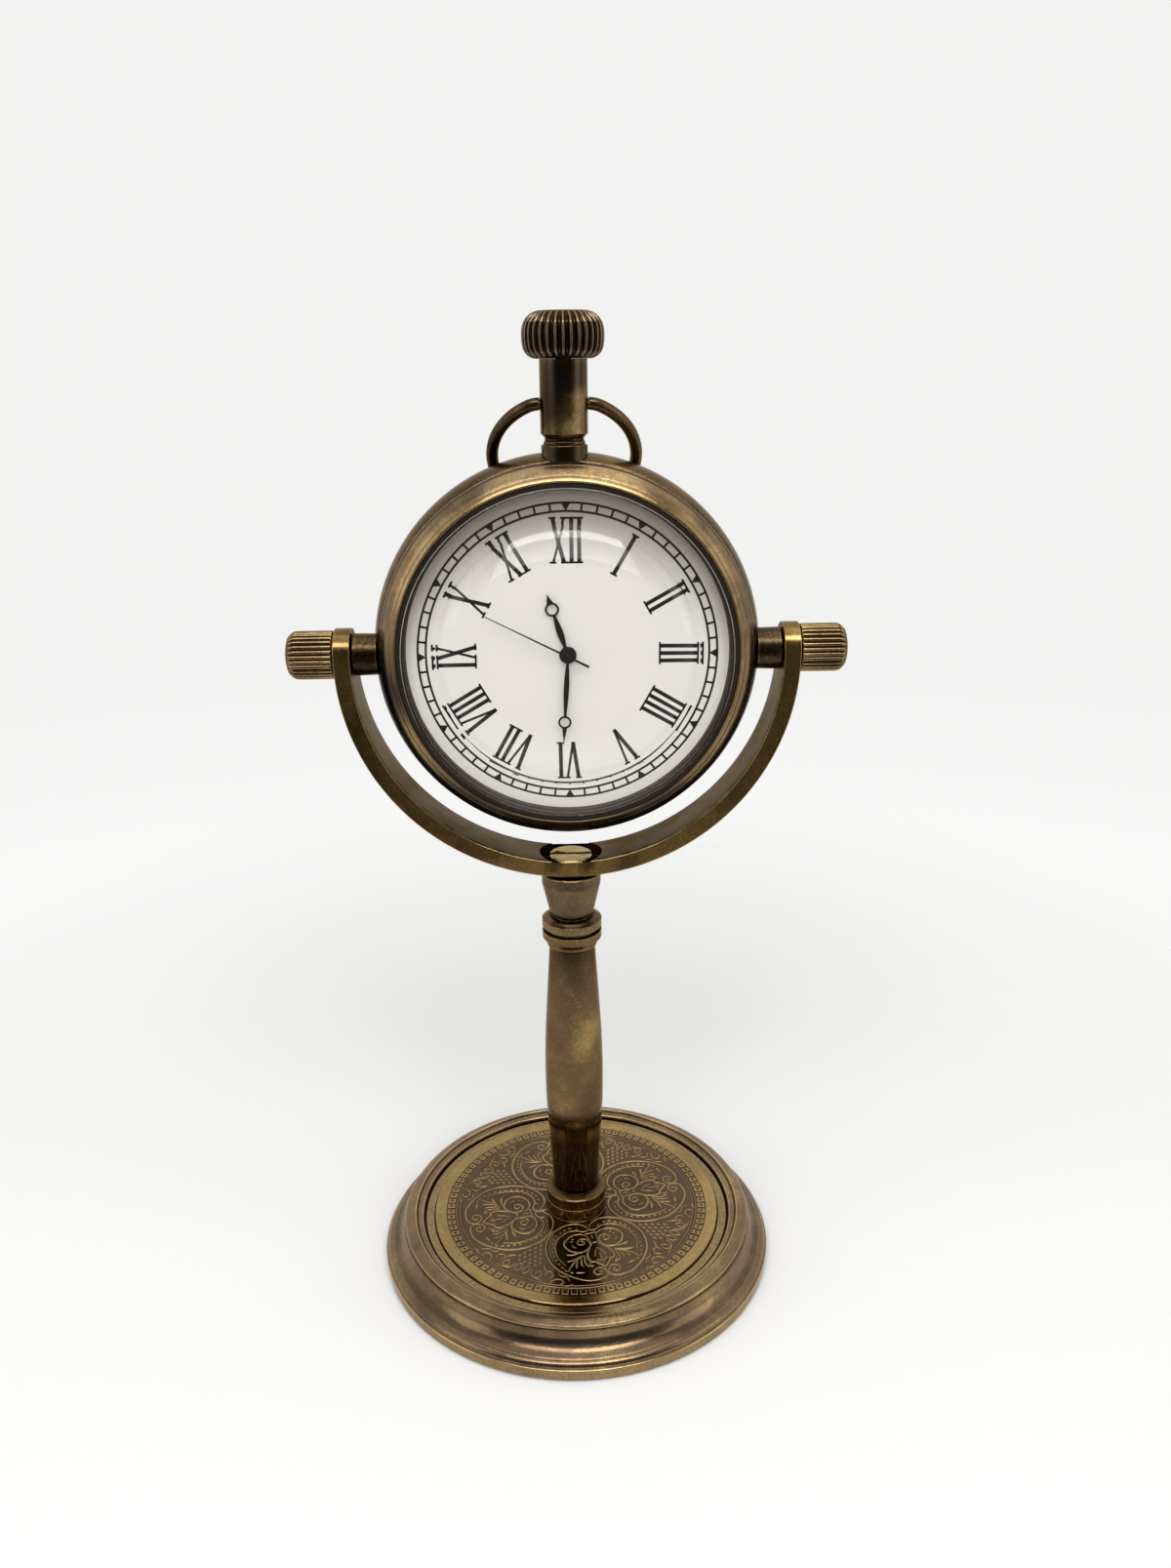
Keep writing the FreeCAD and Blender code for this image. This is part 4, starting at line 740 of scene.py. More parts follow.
def medallion():
    """One medallion, outward and across from its middle: a scrolled frame round a leaf and two scrolls."""
    centre = [
        (np.array([(0, 2.9), (0, 2.0), (0, 1.0)]), np.array([0.08, 0.12, 0.05])),
        dot((0, -1.33), 0.28),
        (np.array([(-0.8, -3.42), (0.8, -3.42)]), 0.14),
        (np.array([(0, -2.2), (0, -3.0)]), 0.1),
        leaf((0, -4.6), (0, -5.9), 0.4),
    ]
    half = [
        tapered(FRAME_LINE, 0.16, 0.23, 0.13, 150),
        tapered(INNER_LINE, 0.1, 0.2, 0.14, 60),
        tapered(LEAF_LINE, 0.22, 0.26, 0.14, 40),
        tapered(BIG_SCROLL, 0.2, 0.27, 0.15, 66),
        tapered(SMALL_SCROLL, 0.2, 0.17, 0.12, 50),
        tapered(((0.8, 1.6), (0.55, 0.75), (0.05, -0.1)), 0.1, 0.13, 0.06, 10),
        tapered(((0.1, 2.6), (0.45, 2.5), (0.75, 2.3)), 0.08, 0.12, 0.08, 8),
        tapered(((0.55, -1.9), (0.65, -2.6), (0.85, -3.4)), 0.13, 0.13, 0.13, 10),
        tapered(((2.9, -0.9), (3.25, -1.2), (3.3, -1.7)), 0.08, 0.12, 0.08, 10),
        dot((3.25, -2.35), 0.16),
        dot((2.9, -2.85), 0.16),
        dot((1.8, 3.35), 0.2),
        leaf((2.65, 0.83), (5.07, 1.42), 0.5, 0.08),
        leaf((2.98, 0.33), (4.73, 0.0), 0.5, 0.06),
        tapered(((2.4, 0.92), (3.82, 1.75), (4.82, 2.75), (5.4, 3.5)), 0.1, 0.16, 0.06, 24),
        tapered(((2.3, 1.0), (2.55, 2.4), (2.3, 3.2), (1.95, 3.0), (2.05, 2.7)), 0.12, 0.18, 0.1, 28),
        tapered(((2.85, 1.3), (3.15, 2.6), (3.0, 3.2)), 0.1, 0.18, 0.06, 14),
        tapered(((3.5, 1.65), (3.95, 2.75), (4.0, 3.2)), 0.1, 0.17, 0.06, 14),
        leaf((3.23, 4.33), (4.4, 3.95), 0.45),
    ]
    both = mirrored(half + square_dots(DOTTED_LINE, 0.87, 0.19), (-1.0, 1.0))
    return [(line[:, ::-1], width) for line, width in centre + both]


# The bunch of grapes between two medallions: how far out each row is, and its grapes to one side.
GRAPE_ROWS = (
    (10.9, (0,)), (11.65, (0.42,)), (12.45, (0, 0.85)), (13.25, (0.42, 1.27)), (14.05, (0, 0.85, 1.7)),
    (14.8, (0.42, 1.3)),
)
UPPER_OVAL = ((17.0, 0.6), (16.5, 1.0), (15.8, 1.0), (15.3, 0.6), (15.8, 0.25), (16.5, 0.25), (17.0, 0.6))
LOWER_OVAL = ((16.9, 2.65), (16.5, 3.05), (15.95, 3.05), (15.5, 2.65), (15.95, 2.25), (16.5, 2.25),
              (16.9, 2.65))


def grapes():
    """The vine between two medallions, outward and across from the middle of the plate."""
    strokes = []
    for out, places in GRAPE_ROWS:
        for v in places:
            strokes += [dot((out, v), 0.3)] + ([dot((out, -v), 0.3)] if v else [])
    half = [
        tapered(UPPER_OVAL, 0.12, 0.12, 0.12, 30),
        tapered(LOWER_OVAL, 0.11, 0.11, 0.11, 30),
        tapered(((15.67, 1.35), (16.4, 1.6), (16.83, 2.0), (17.05, 3.0), (17.08, 3.83)), 0.12, 0.17, 0.08,
                24),
        tapered(((15.9, 3.6), (15.2, 3.4), (14.9, 4.0), (15.4, 4.6), (16.2, 4.4)), 0.09, 0.15, 0.09, 26),
        tapered(((16.9, 4.9), (16.0, 5.2), (15.6, 6.0), (16.1, 6.6), (16.6, 6.2)), 0.09, 0.15, 0.09, 26),
        tapered(((14.6, 4.9), (15.0, 5.6), (14.8, 6.4), (15.3, 7.2)), 0.07, 0.14, 0.07, 20),
        leaf((14.2, 2.3), (15.2, 3.3), 0.4, 0.1),
        leaf((16.5, 7.0), (15.6, 7.9), 0.36, -0.1),
    ]
    return strokes + mirrored(half, (1.0, -1.0))


def turned_strokes(strokes, degrees, shift=0.0):
    """The strokes moved outward and turned round the middle of the plate."""
    a = math.radians(degrees)
    rotation = np.array([[math.cos(a), math.sin(a)], [-math.sin(a), math.cos(a)]])
    return [((line + [shift, 0.0]) @ rotation, half) for line, half in strokes]


def make_beads(floor):
    """The border of the plate: square beads, each with a square hole in its top."""
    across, around, hole = 0.53, 0.45, 0.18
    levels = (
        # The floors of the bead holes get negative edge values, which the brass darkens as painted shade and
        # grime.
        (floor, across, around, -0.9), (floor + 0.06, across, around, 0.4),
        (floor + 0.085, across - 0.06, around - 0.06, 1.0), (floor + 0.085, hole + 0.04, hole + 0.04, 0.8),
        (floor + 0.02, hole, hole, -1.0),
    )
    verts, faces, edge = [], [], []
    for k in range(PLATE_BEADS):
        a = 2 * math.pi * k / PLATE_BEADS
        c, s = math.cos(a), math.sin(a)
        first = len(verts)
        for h, wide, long, value in levels:
            for u, v in ((-1, -1), (1, -1), (1, 1), (-1, 1)):
                r, t = BEAD_R + u * wide, v * long
                verts.append((r * c - t * s, r * s + t * c, h))
                edge.append(value)
        for ring in range(first, first + 16, 4):
            faces += join(range(ring, ring + 4), range(ring + 4, ring + 8))
        faces.append(list(range(first + 16, first + 20)))
    beads = build("plate_beads", verts, faces, edge=edge, smooth=False)
    finish_piece(beads, M_ORNAMENT, *PLATE_TOP)


def make_plate():
    low, line = PLATE - 0.08, PLATE - 0.01
    outline = [
        (2.05, 4.9), (21.5, 4.9), (21.5, 5.92), (21.3, PLATE), (19.85, PLATE), (19.75, low), (18.4, low),
        (18.33, line), (18.12, line), (18.05, low), (17.95, low), (17.9, line), (17.7, line), (17.62, low),
        (4.55, low), (4.5, PLATE), (2.05, PLATE),
    ]
    turn_piece("plate_disc", outline, M_PLATE, *PLATE_TOP, "base_plate", segments=224, fillet=0.05, steps=3)
    rim = [(19.78, 6.02), (21.4, 6.02), (21.4, 6.09), (21.25, 6.118), (19.86, 6.118), (19.78, 6.09)]
    turn_piece("plate_rim", rim, M_RIM, *PLATE_TOP, segments=224, fillet=0.02, steps=2)
    strokes = []
    for k in range(4):
        strokes += turned_strokes(medallion(), ORNAMENT_TURN + 90 * k, 10.6)
        strokes += turned_strokes(grapes(), ORNAMENT_TURN + 90 * k + 45)
    finish_piece(strokes_mesh("plate_ornament", strokes, 0.085, low), M_ORNAMENT, *PLATE_TOP)
    make_beads(low)


# ---- column and cup
def column_tone(r, h):
    """Dark at the foot and on the lower cone, rubbed at the waist."""
    for top, tone in ((9.95, -0.2), (CONE_TOP, -0.9), (33.0, -0.1), (40.0, 0.25)):
        if h < top:
            return tone
    return 0.0


def make_column():
    collar = [(2.05, 6.1), (4.5, 6.1), (4.5, 7.98), (2.05, 7.98)]
    turn_piece("foot_ring", collar, M_COLUMN, *STAND, "foot_collar", segments=96, fillet=0.12)
    shaft = [
        (0, 8.02), (4.45, 8.02), (4.45, 9.6), (4.25, 9.78), (3.95, 9.9), (3.3, 10.1), (4.12, 23.8),
        (4.2, 31.8, -0.05), (3.95, 38.35, -0.03), (3.22, 50.05), (3.3, 50.1), (3.55, 50.65, -0.08),
        (3.3, 51.15, -0.08), (3.85, 51.2), (4.17, 51.5), (4.17, 52.57), (3.0, 52.57), (0, 52.57),
    ]
    column = turn_piece("column_turned", shaft, M_COLUMN, *STAND, "column", segments=128, fillet=0.09,
                        tone=column_tone)
    column.data.materials.append(M_CONE)
    for face in column.data.polygons:
        if CONE_FOOT < face.center.z / MM < CONE_TOP:
            face.material_index = 1
    cup = [
        (0, 52.6), (3.7, 52.6), (3.7, 53.19), (4.17, 53.19), (4.17, 54.25), (3.6, 54.62, 0.03),
        (2.85, 54.8, -0.05), (2.75, 54.95), (3.08, 55.3), (4.1, 59.78), (4.1, 61.2), (3.95, 61.36),
        (3.05, 61.36), (3.05, 62.0), (0, 62.0),
    ]
    turn_piece("cup_turned", cup, M_CUP, *STAND, "yoke_cup", segments=128, fillet=0.08)


# ---- yoke
def yoke_place(points, t):
    """Bends plate points (s along the ring from its lowest point, w across it). t is 0 on the outside."""
    s, w = points[:, 0], points[:, 1]
    inner = YOKE_R - YOKE_T
    quarter = inner * math.pi / 2
    radius = YOKE_R - t
    a = np.clip(s, -quarter, quarter) / inner
    z = YOKE_C - radius * np.cos(a) + np.maximum(0, np.abs(s) - quarter)
    zero = np.zeros_like(a)
    along = np.stack([np.cos(a), zero, np.sin(a)], 1)
    across = np.stack([zero, zero + 1, zero], 1)
    inward = np.stack([-np.sin(a), zero, np.cos(a)], 1)
    return np.stack([radius * np.sin(a), w, z], 1), (along, across, inward)


def make_yoke():
    half, bevel, eye, count = YOKE_W / 2, 0.12, 1.58, 121
    end = (YOKE_R - YOKE_T) * math.pi / 2 + PIVOT - YOKE_C
    front = np.stack([np.linspace(-end, end, count), np.full(count, -half)], 1)
    right = circle(half, 33, (end, 0), -math.pi / 2, math.pi)[1:-1]
    left = circle(half, 33, (-end, 0), math.pi / 2, math.pi)[1:-1]
    outline = np.vstack([front, right, front[::-1] * [1, -1], left])
    holes = [circle(eye, 40, (side * end, 0)) for side in (-1, 1)]
    grid = np.linspace(-end - 2.4, end + 2.4, 100)
    extra = [(s, w) for s in grid for w in (-2.6, -1.3, 0.0, 1.3, 2.6) if abs(abs(s) - end) > 1.9]

    def inside(c):
        past_end = np.hypot(abs(c[0]) - end, c[1])
        rim = half - bevel - 0.002
        return past_end >= eye + 0.02 and abs(c[1]) < rim and (abs(c[0]) < end or past_end < rim)

    yoke = slab("yoke_strip", [outline, *holes], YOKE_T, bevel, yoke_place, inside, extra)
    deep, pit, wide = YOKE_FLOOR - 0.5, 3.3, 4.3
    sink = [(0, deep), (pit - 0.1, deep), (pit, deep + 0.1), (pit, YOKE_FLOOR - 0.07),
            (pit + 0.07, YOKE_FLOOR), (wide, YOKE_FLOOR), (wide, 67), (0, 67)]
    yoke = boolean(yoke, turned("sink_cutter", sink, segments=72, fillet=0.001, steps=1))
    yoke.data.set_sharp_from_angle(angle=math.radians(32))
    finish_piece(yoke, M_YOKE, *STAND, "yoke")
    yoke.data.materials.append(M_YOKE_INNER)
    centre = Vector((0, 0, YOKE_C * MM))
    for face in yoke.data.polygons:
        inward = centre - face.center
        inward.y = 0
        inward.z = max(inward.z, 0)
        if face.normal.dot(inward.normalized()) > 0.8:
            face.material_index = 1


def boolean(obj, cutter):
    """Cuts one mesh from another and drops the cutter."""
    modifier = obj.modifiers.new("cut", "BOOLEAN")
    modifier.operation = "DIFFERENCE"
    modifier.solver = "EXACT"
    modifier.object = cutter
    graph = bpy.context.evaluated_depsgraph_get()
    mesh = bpy.data.meshes.new_from_object(obj.evaluated_get(graph))
    obj.modifiers.clear()
    obj.data = mesh
    bpy.data.objects.remove(cutter)
    return obj


def box(name, low, high):
    """A plain box between two corners."""
    (a, b, c), (d, e, f) = low, high
    verts = [(a, b, c), (d, b, c), (d, e, c), (a, e, c), (a, b, f), (d, b, f), (d, e, f), (a, e, f)]
    faces = [[0, 3, 2, 1], [4, 5, 6, 7], [0, 1, 5, 4], [1, 2, 6, 5], [2, 3, 7, 6], [3, 0, 4, 7]]
    return build(name, verts, faces, smooth=False)


def make_yoke_screw():
    top, head = YOKE_FLOOR - 0.04, 2.95
    slot_half, slot_deep = 0.3, 0.6
    outline = [(0, 56.35), (1.5, 56.35), (1.5, 62.3), (head, 63.4), (head, top - 0.12), (head - 0.12, top),
               (0, top)]
    screw = turned("yoke_screw_slotted", outline, segments=96, fillet=0.05, steps=2)
    screw = boolean(screw, box("slot_cutter", (-4, -slot_half, top - slot_deep), (4, slot_half, top + 1)))
    screw.rotation_euler = (0, 0, math.radians(1.0))
    screw.data.set_sharp_from_angle(angle=math.radians(30))
    finish_piece(screw, M_SCREW, "stand", "brass_bright", "yoke_screw")


# ---- thumb screws and bosses
def flutes(count, depth, sharp, start, end):
    """Radius of a ring of rounded grooves between two heights."""
    def ripple(angle, r, h, edge):
        if not start <= abs(h) <= end:
            return np.full(len(angle), r), np.full(len(angle), edge)
        wave = np.abs(np.sin(angle * count / 2)) ** sharp
        fade = max(0.0, min(1.0, (abs(h) - start) / 0.12, (end - abs(h)) / 0.35))
        # The grooves get negative edge values, which the brass darkens as painted shade and grime.
        return r - depth * fade * (1 - wave), edge + fade * (wave * 1.3 - 0.75) * 0.7
    return ripple


def make_thumb_screws():
    knob = [
        (0, -5.2), (1.5, -5.2), (1.5, 0), (2.9, 0), (2.9, 0.12), (3.0, 0.16), (3.15, 0.3), (3.15, 2.2),
        (3.15, 3.6), (3.15, 4.6), (3.12, 5.15), (2.95, 5.55), (2.45, 6.05), (1.6, 6.32), (0, 6.4),
    ]
    boss = [
        (1.55, 22.85), (2.05, 22.85), (2.05, 24.4), (2.35, 24.4), (2.35, BOSS_FACE - 3.3),
        (2.55, BOSS_FACE - 3.25), (2.68, BOSS_FACE - 3.1), (2.75, BOSS_FACE - 0.12), (2.63, BOSS_FACE),
        (1.55, BOSS_FACE),
    ]
    ripple = flutes(KNOB_FLUTES, 0.30, 0.75, KNOB_SEAT + 0.22, KNOB_SEAT + 5.9)
    for side, name in ((-1, "left"), (1, "right")):
        outline = [(r, side * (KNOB_SEAT + h)) for r, h in knob]
        screw = turned(f"{name}_thumb_fluted", outline, "X", KNOB_FLUTES * 8, 0.1, 3, ripple=ripple)
        screw.data.set_sharp_from_angle(angle=math.radians(60))
        finish_piece(screw, M_KNOB, f"{name}_thumb", "brass_stand", f"{name}_thumb_screw")
        outline = [(r, side * h) for r, h in boss]
        turn_piece(f"{name}_boss_turned", outline, M_BAND, *CASE, f"{name}_case_boss", axis="X", segments=96,
                   fillet=0.07)


# ---- watch case
def bezel_tone(r, h):
    """Dark where the bezel meets the band and at its lip, rubbed on its crown."""
    if r > 23.9:
        return -0.9
    return -0.5 if r < 21.8 else 0.3


def make_case():
    band = [(22.8, -2.32), (23.95, -2.32), (24.2, -2.22), (24.42, -1.98), (24.62, CASE_BACK, -0.60),
            (22.8, CASE_BACK)]
    turn_piece("band_turned", band, M_BAND, *CASE, "case_band", axis="Y", segments=256, fillet=0.12,
               arc_steps=24)
    bezel = [
        (22.75, -1.6), (22.75, -2.36), (23.95, -2.36), (24.2, -2.52), (24.18, -2.72), (23.75, -3.35, 0.05),
        (22.65, -4.42, 0.07), (22.08, -4.86, 0.04), (21.94, -4.9), (21.86, -4.75), (21.86, -2.92),
        (22.7, -2.92), (22.7, -1.6),
    ]
    turn_piece("bezel_turned", bezel, M_CASE, *CASE, "bezel", axis="Y", segments=256, arc_steps=10,
               tone=bezel_tone)
    cover = [
        (22.75, 3.85), (22.75, 4.92), (24.5, 4.92), (24.45, 5.12), (22.8, 5.72, -0.16), (22.4, 5.72),
        (0, 6.9, -0.30), (0, 6.1), (21.8, 4.9, 0.30), (21.8, 3.85),
    ]
    turn_piece("back_turned", cover, M_BAND, *CASE, "back_cover", axis="Y", segments=256, fillet=0.08,
               arc_steps=24)
    shelf = [(21.85, -3.9), (20.9, -3.9), (20.9, -2.92), (21.85, -2.92)]
    turn_piece("bezel_shelf", shelf, M_FLANGE, *CASE, axis="Y", segments=224, fillet=0.04, steps=2)
    gasket = [(21.28, -4.62), (21.8, -4.72), (21.84, -4.6), (21.84, -3.92), (21.28, -3.92)]
    turn_piece("gasket_ring", gasket, M_GASKET, "watch", "rubber_gasket", "crystal_gasket", axis="Y",
               segments=200, fillet=0.03, steps=2)
    flange = [(22.7, -2.88), (20.75, -2.88), (20.6, -1.92), (22.7, -1.92)]
    turn_piece("flange_ring", flange, M_FLANGE, "watch", "flange_grey", "dial_flange", axis="Y",
               segments=200, fillet=0.04, steps=2)


def cap_rise(half_width, height):
    """How far a dome bulges over the straight line from its rim to its apex."""
    sphere = (half_width ** 2 + height ** 2) / (2 * height)
    chord = math.hypot(half_width, height) / 2
    return sphere - math.sqrt(sphere ** 2 - chord ** 2)


def make_crystal():
    recess, depth, rim, apex = 16.8, 1.7, 21.25, -6.25
    steps = np.sin(np.linspace(0, 1, 26) * math.pi / 2)
    hollow = [(recess * t, GLASS_BACK - depth * (1 - t ** 5)) for t in steps]
    front = [(rim, -4.75), (rim - 0.12, -4.9), (0, apex, cap_rise(rim, 1.35))]
    turn_piece("crystal_dome", [*hollow, (rim, GLASS_BACK), *front], M_GLASS, "watch", "glass_crystal",
               "crystal", axis="Y", segments=224, fillet=0.06, steps=3, arc_steps=40)


# ---- dial
def prism(polygons, front, back):
    """Flat pieces in the plane of the dial from convex polygons of x and z."""
    verts, faces = [], []
    for polygon in polygons:
        n, first = len(polygon), len(verts)
        verts += [(x, front, PIVOT + z) for x, z in polygon] + [(x, back, PIVOT + z) for x, z in polygon]
        faces.append(list(range(first, first + n)))
        faces.append(list(range(first + 2 * n - 1, first + n - 1, -1)))
        for k in range(n):
            m = (k + 1) % n
            faces.append([first + k, first + n + k, first + n + m, first + m])
    return verts, faces


def bar(p, q, width):
    """A straight stroke as a polygon."""
    p, q = np.array(p, float), np.array(q, float)
    d = (q - p) / np.linalg.norm(q - p)
    s = np.array([-d[1], d[0]]) * width / 2
    return [p - s, q - s, q + s, p + s]


# The letters of the hours: their width, their strokes as (from, to, weight) and their serifs as (from, to,
# height). Heights are 0 at the feet and 1 at the head.
THICK, THIN, SERIF = 0.52, 0.32, 0.27
LETTERS = {
    "I": (0.98, (), ((-0.50, 0.50, 0), (-0.50, 0.50, 1))),
    "V": (2.3, ((-0.78, 0.0, THICK), (0.78, 0.0, THIN)), ((-1.22, -0.35, 1), (0.35, 1.2, 1))),
    "X": (2.3, ((-0.72, 0.72, THICK), (0.72, -0.72, THIN)),
          ((-1.16, -0.28, 0), (0.28, 1.16, 0), (-1.16, -0.28, 1), (0.28, 1.16, 1))),
}


def numeral(word):
    """Strokes of a Roman numeral, x across it and y from 0 at the feet to its height at the head."""
    tall = NUMERAL_OUT - NUMERAL_IN
    x = -sum(LETTERS[c][0] for c in word) / 2
    out, runs = [], []
    for c in word:
        width, strokes, serifs = LETTERS[c]
        mid = x + width / 2
        if c == "I":
            out.append(bar((mid, 0.05), (mid, tall - 0.05), THICK))
        out += [bar((mid + a, tall), (mid + b, 0.0), weight) for a, b, weight in strokes]
        runs += [(mid + a, mid + b, y * tall) for a, b, y in serifs]
        x += width
    for a, b, y in runs:
        y = min(max(y, SERIF / 2), tall - SERIF / 2)
        out.append(bar((a, y), (b, y), SERIF))
    return out


def on_dial(polygon, a):
    """A polygon turned clockwise from XII by the angle a."""
    c, s = math.cos(a), math.sin(a)
    return [(x * c + y * s, -x * s + y * c) for x, y in polygon]


def make_dial():
    face = [(0.9, DIAL_FRONT), (22.7, DIAL_FRONT), (22.7, -1.5), (0.9, -1.5)]
    turn_piece("dial_face", face, M_DIAL, "watch", "paint_dial", "dial", axis="Y", fillet=0.03, steps=2)
    polygons = []
    for hour, word in enumerate("XII I II III IIII V VI VII VIII IX X XI".split()):
        for polygon in numeral(word):
            polygons.append(on_dial([(x, y + NUMERAL_IN) for x, y in polygon], math.radians(30 * hour)))
    count = 240
    for middle in (TRACK_IN, TRACK_OUT):
        inner, outer = middle - TRACK_HALF, middle + TRACK_HALF
        for k in range(count):
            a, b = 2 * math.pi * k / count, 2 * math.pi * (k + 1) / count
            corners = ((inner, a), (outer, a), (outer, b), (inner, b))
            polygons.append([(r * math.sin(t), r * math.cos(t)) for r, t in corners])
    half = TRACK_HALF
    line = [(-half, TRACK_IN), (half, TRACK_IN), (half, TRACK_OUT), (-half, TRACK_OUT)]
    wedge = [(0.0, TRACK_IN), (0.6, TRACK_OUT), (-0.6, TRACK_OUT)]
    for minute in range(60):
        polygons.append(on_dial(line if minute % 5 else wedge, math.radians(6 * minute)))
    verts, faces = prism(polygons, DIAL_FRONT - 0.015, DIAL_FRONT + 0.005)
    finish_piece(build("dial_print", verts, faces, smooth=False), M_INK, "watch", "paint_black")


# ---- hands
def hand_place(front, degrees):
    """Puts hand points (x across, y along) in front of the dial, turned clockwise from XII."""
    a = math.radians(degrees)
    c, s = math.cos(a), math.sin(a)

    def place(points, t):
        x, y = points[:, 0], points[:, 1]
        one, zero = np.ones(len(x)), np.zeros(len(x))
        position = np.stack([x * c + y * s, one * (front - t), PIVOT + (-x * s + y * c)], 1)
        return position, (np.stack([one * c, zero, -one * s], 1), np.stack([one * s, zero, one * c], 1),
                          np.stack([zero, -one, zero], 1))
    return place


def polygon_inside(loop):
    """A test whether a point is inside a loop."""
    loop = np.array(loop)

    def inside(c):
        x, y = c
        crossing = False
        for (ax, ay), (bx, by) in zip(loop, np.roll(loop, -1, 0)):
            if (ay > y) != (by > y) and x < (bx - ax) * (y - ay) / (by - ay) + ax:
                crossing = not crossing
        return crossing
    return inside


def hand_outline(length, eye, eye_r, hub_r, width, neck, tip):
    """A hand's right-hand side from the hub to its point, then its mirror image."""
    side = []
    hub_start = math.radians(90) - math.asin(min(1, neck * 1.1 / hub_r))
    for a in np.linspace(-math.pi / 2, hub_start, 18):
        side.append((hub_r * math.cos(a), hub_r * math.sin(a)))
    foot = side[-1][1]
    top = eye - math.sqrt(eye_r ** 2 - neck ** 2)
    for t in np.linspace(0, 1, 16)[1:-1]:
        swell = math.sin(math.pi * t ** 0.9) ** 1.3
        side.append((neck + (width / 2 - neck) * swell, foot + (top - foot) * t))
    for a in np.linspace(math.atan2(top - eye, neck), math.pi / 2 - math.asin(tip / eye_r), 16):
        side.append((eye_r * math.cos(a), eye + eye_r * math.sin(a)))
    start = side[-1][1]
    for t in np.linspace(0, 1, 8)[1:-1]:
        side.append((tip * (1 - t) ** 1.25 + 0.02, start + (length - start) * t))
    side.append((0.0, length))
    return np.array(side + [(-x, y) for x, y in side[::-1][1:] if x > 1e-6])


def make_hand(name, body, node, front, degrees, bore, wall, sizes):
    """A flat hand with a bore in its hub and a round eye."""
    outline = hand_outline(*sizes)
    eye, hole = sizes[1], sizes[2] - wall
    within = polygon_inside(outline)

    def inside(c):
        return within(c) and np.hypot(c[0], c[1] - eye) > hole and np.hypot(*c) > bore

    loops = [outline, circle(hole, 36, (0, eye)), circle(bore, 32)]
    hand = slab(name, loops, 0.18, 0.035, hand_place(front, degrees), inside, steps=2)
    finish_piece(hand, M_BLACK, body, "paint_black", node)


def make_hands():
    """Sizes of the long hands: length, middle and radius of the eye, radius of the hub, width, neck, tip."""
    make_hand("hour_hand_black", "hour_works", "hour_hand", -2.2, -18.0, 0.74, 0.25,
              (8.3, 6.2, 0.90, 1.1, 0.82, 0.19, 0.42))
    make_hand("minute_hand_black", "minute_works", "minute_hand", -2.68, 183.5, 0.5, 0.25,
              (11.9, 8.8, 0.86, 0.95, 0.70, 0.17, 0.30))
    half, tail, point, length = 0.11, 0.16, 0.05, 11.8
    outline = [(half, 0.0), (point, length), (-point, length), (-half, 0.0), (-tail, -3.0), (tail, -3.0)]
    needle = slab("second_needle", [outline], 0.15, 0.02, hand_place(-3.17, -63.0), polygon_inside(outline),
                  steps=1)
    finish_piece(needle, M_BLACK, "second_works", "paint_black", "second_hand")
    cap = [(0, -3.18), (0.6, -3.18), (0.6, -3.40), (0.48, -3.44), (0.40, -3.36), (0.30, -3.40),
           (0.24, -3.60), (0, -3.63)]
    washer = [(0.48, -2.87), (0.84, -2.87), (0.84, -2.97), (0.72, -3.03), (0.48, -3.03)]
    small = (("second_cap", cap, "second_works"), ("minute_collet", washer, "minute_works"))
    for name, profile, body in small:
        turn_piece(name, profile, M_BLACK, body, "paint_black", axis="Y", segments=64, fillet=0.03, steps=3)


# ---- neck, crown, bow
def neck_tone(r, h):
    """Darker under the crown, as painted shade of the crown, and darker at the foot of the neck."""
    # Painted shade under the crown.
    if h > 126.0:
        return -1.3
    return -0.8 if h < 119.2 else 0.0


def make_neck():
    ring = [(2.15, 115.3), (2.9, 115.3), (2.9, 118.25), (2.78, 118.38), (2.15, 118.38)]
    turn_piece("neck_ring", ring, M_NECK, *CASE, "pendant_ring", segments=96, fillet=0.07, tone=neck_tone)
    neck = [
        (1.1, 115.2), (2.1, 115.2), (2.1, 118.4), (2.6, 118.4), (2.6, 118.74), (2.45, 118.8), (2.45, 119.12),
        (2.6, 119.3), (2.95, 119.65), (2.95, 124.2), (2.95, 126.8), (2.95, 128.33), (1.1, 128.33),
    ]
    turn_piece("neck_tube", neck, M_NECK, *CASE, "pendant_neck", segments=128, fillet=0.05, tone=neck_tone)


def make_crown():
    profile = [
        (1.0, 0), (3.35, 0), (3.72, 0.06), (4.25, 0.32), (4.66, 0.75), (4.9, 1.3), (5.0, 2.0), (5.03, 2.8),
        (4.97, 3.5), (4.78, 4.15), (4.42, 4.7), (3.98, 5.1), (3.6, 5.3), (3.35, 5.36), (3.2, 5.45),
        (0, 5.45), (0, 3.6), (1.0, 3.6),
    ]
    outline = [(r, CROWN_FOOT + h) for r, h in profile]
    start_r, depth, ridge, slope = 3.3, 0.42, 0.06, 0.32

    def ripple(angle, r, h, edge):
        if r <= start_r or h <= CROWN_FOOT + 0.02:
            return np.full(len(angle), r), np.full(len(angle), edge)
        fade = min(1.0, (r - start_r) / 0.45) * min(1.0, (h - CROWN_FOOT) / 0.2 + 0.4)
        phase = np.abs((angle * CROWN_RIDGES / (2 * math.pi) + 0.5) % 1.0 - 0.5)
        wave = 0.5 + 0.5 * np.cos(math.pi * np.clip((phase - ridge) / slope, 0, 1))
        # The grooves get negative edge values, which the brass darkens as painted shade and grime.
        return r - depth * fade * (1 - wave), edge * 0.3 + fade * (wave * 2.0 - 1.1)

    crown = turned("crown_fluted", outline, segments=CROWN_RIDGES * 12, fillet=0.12, steps=2, ripple=ripple)
    crown.data.set_sharp_from_angle(angle=math.radians(70))
    finish_piece(crown, M_CROWN, "crown_and_stem", "brass_case", "crown")


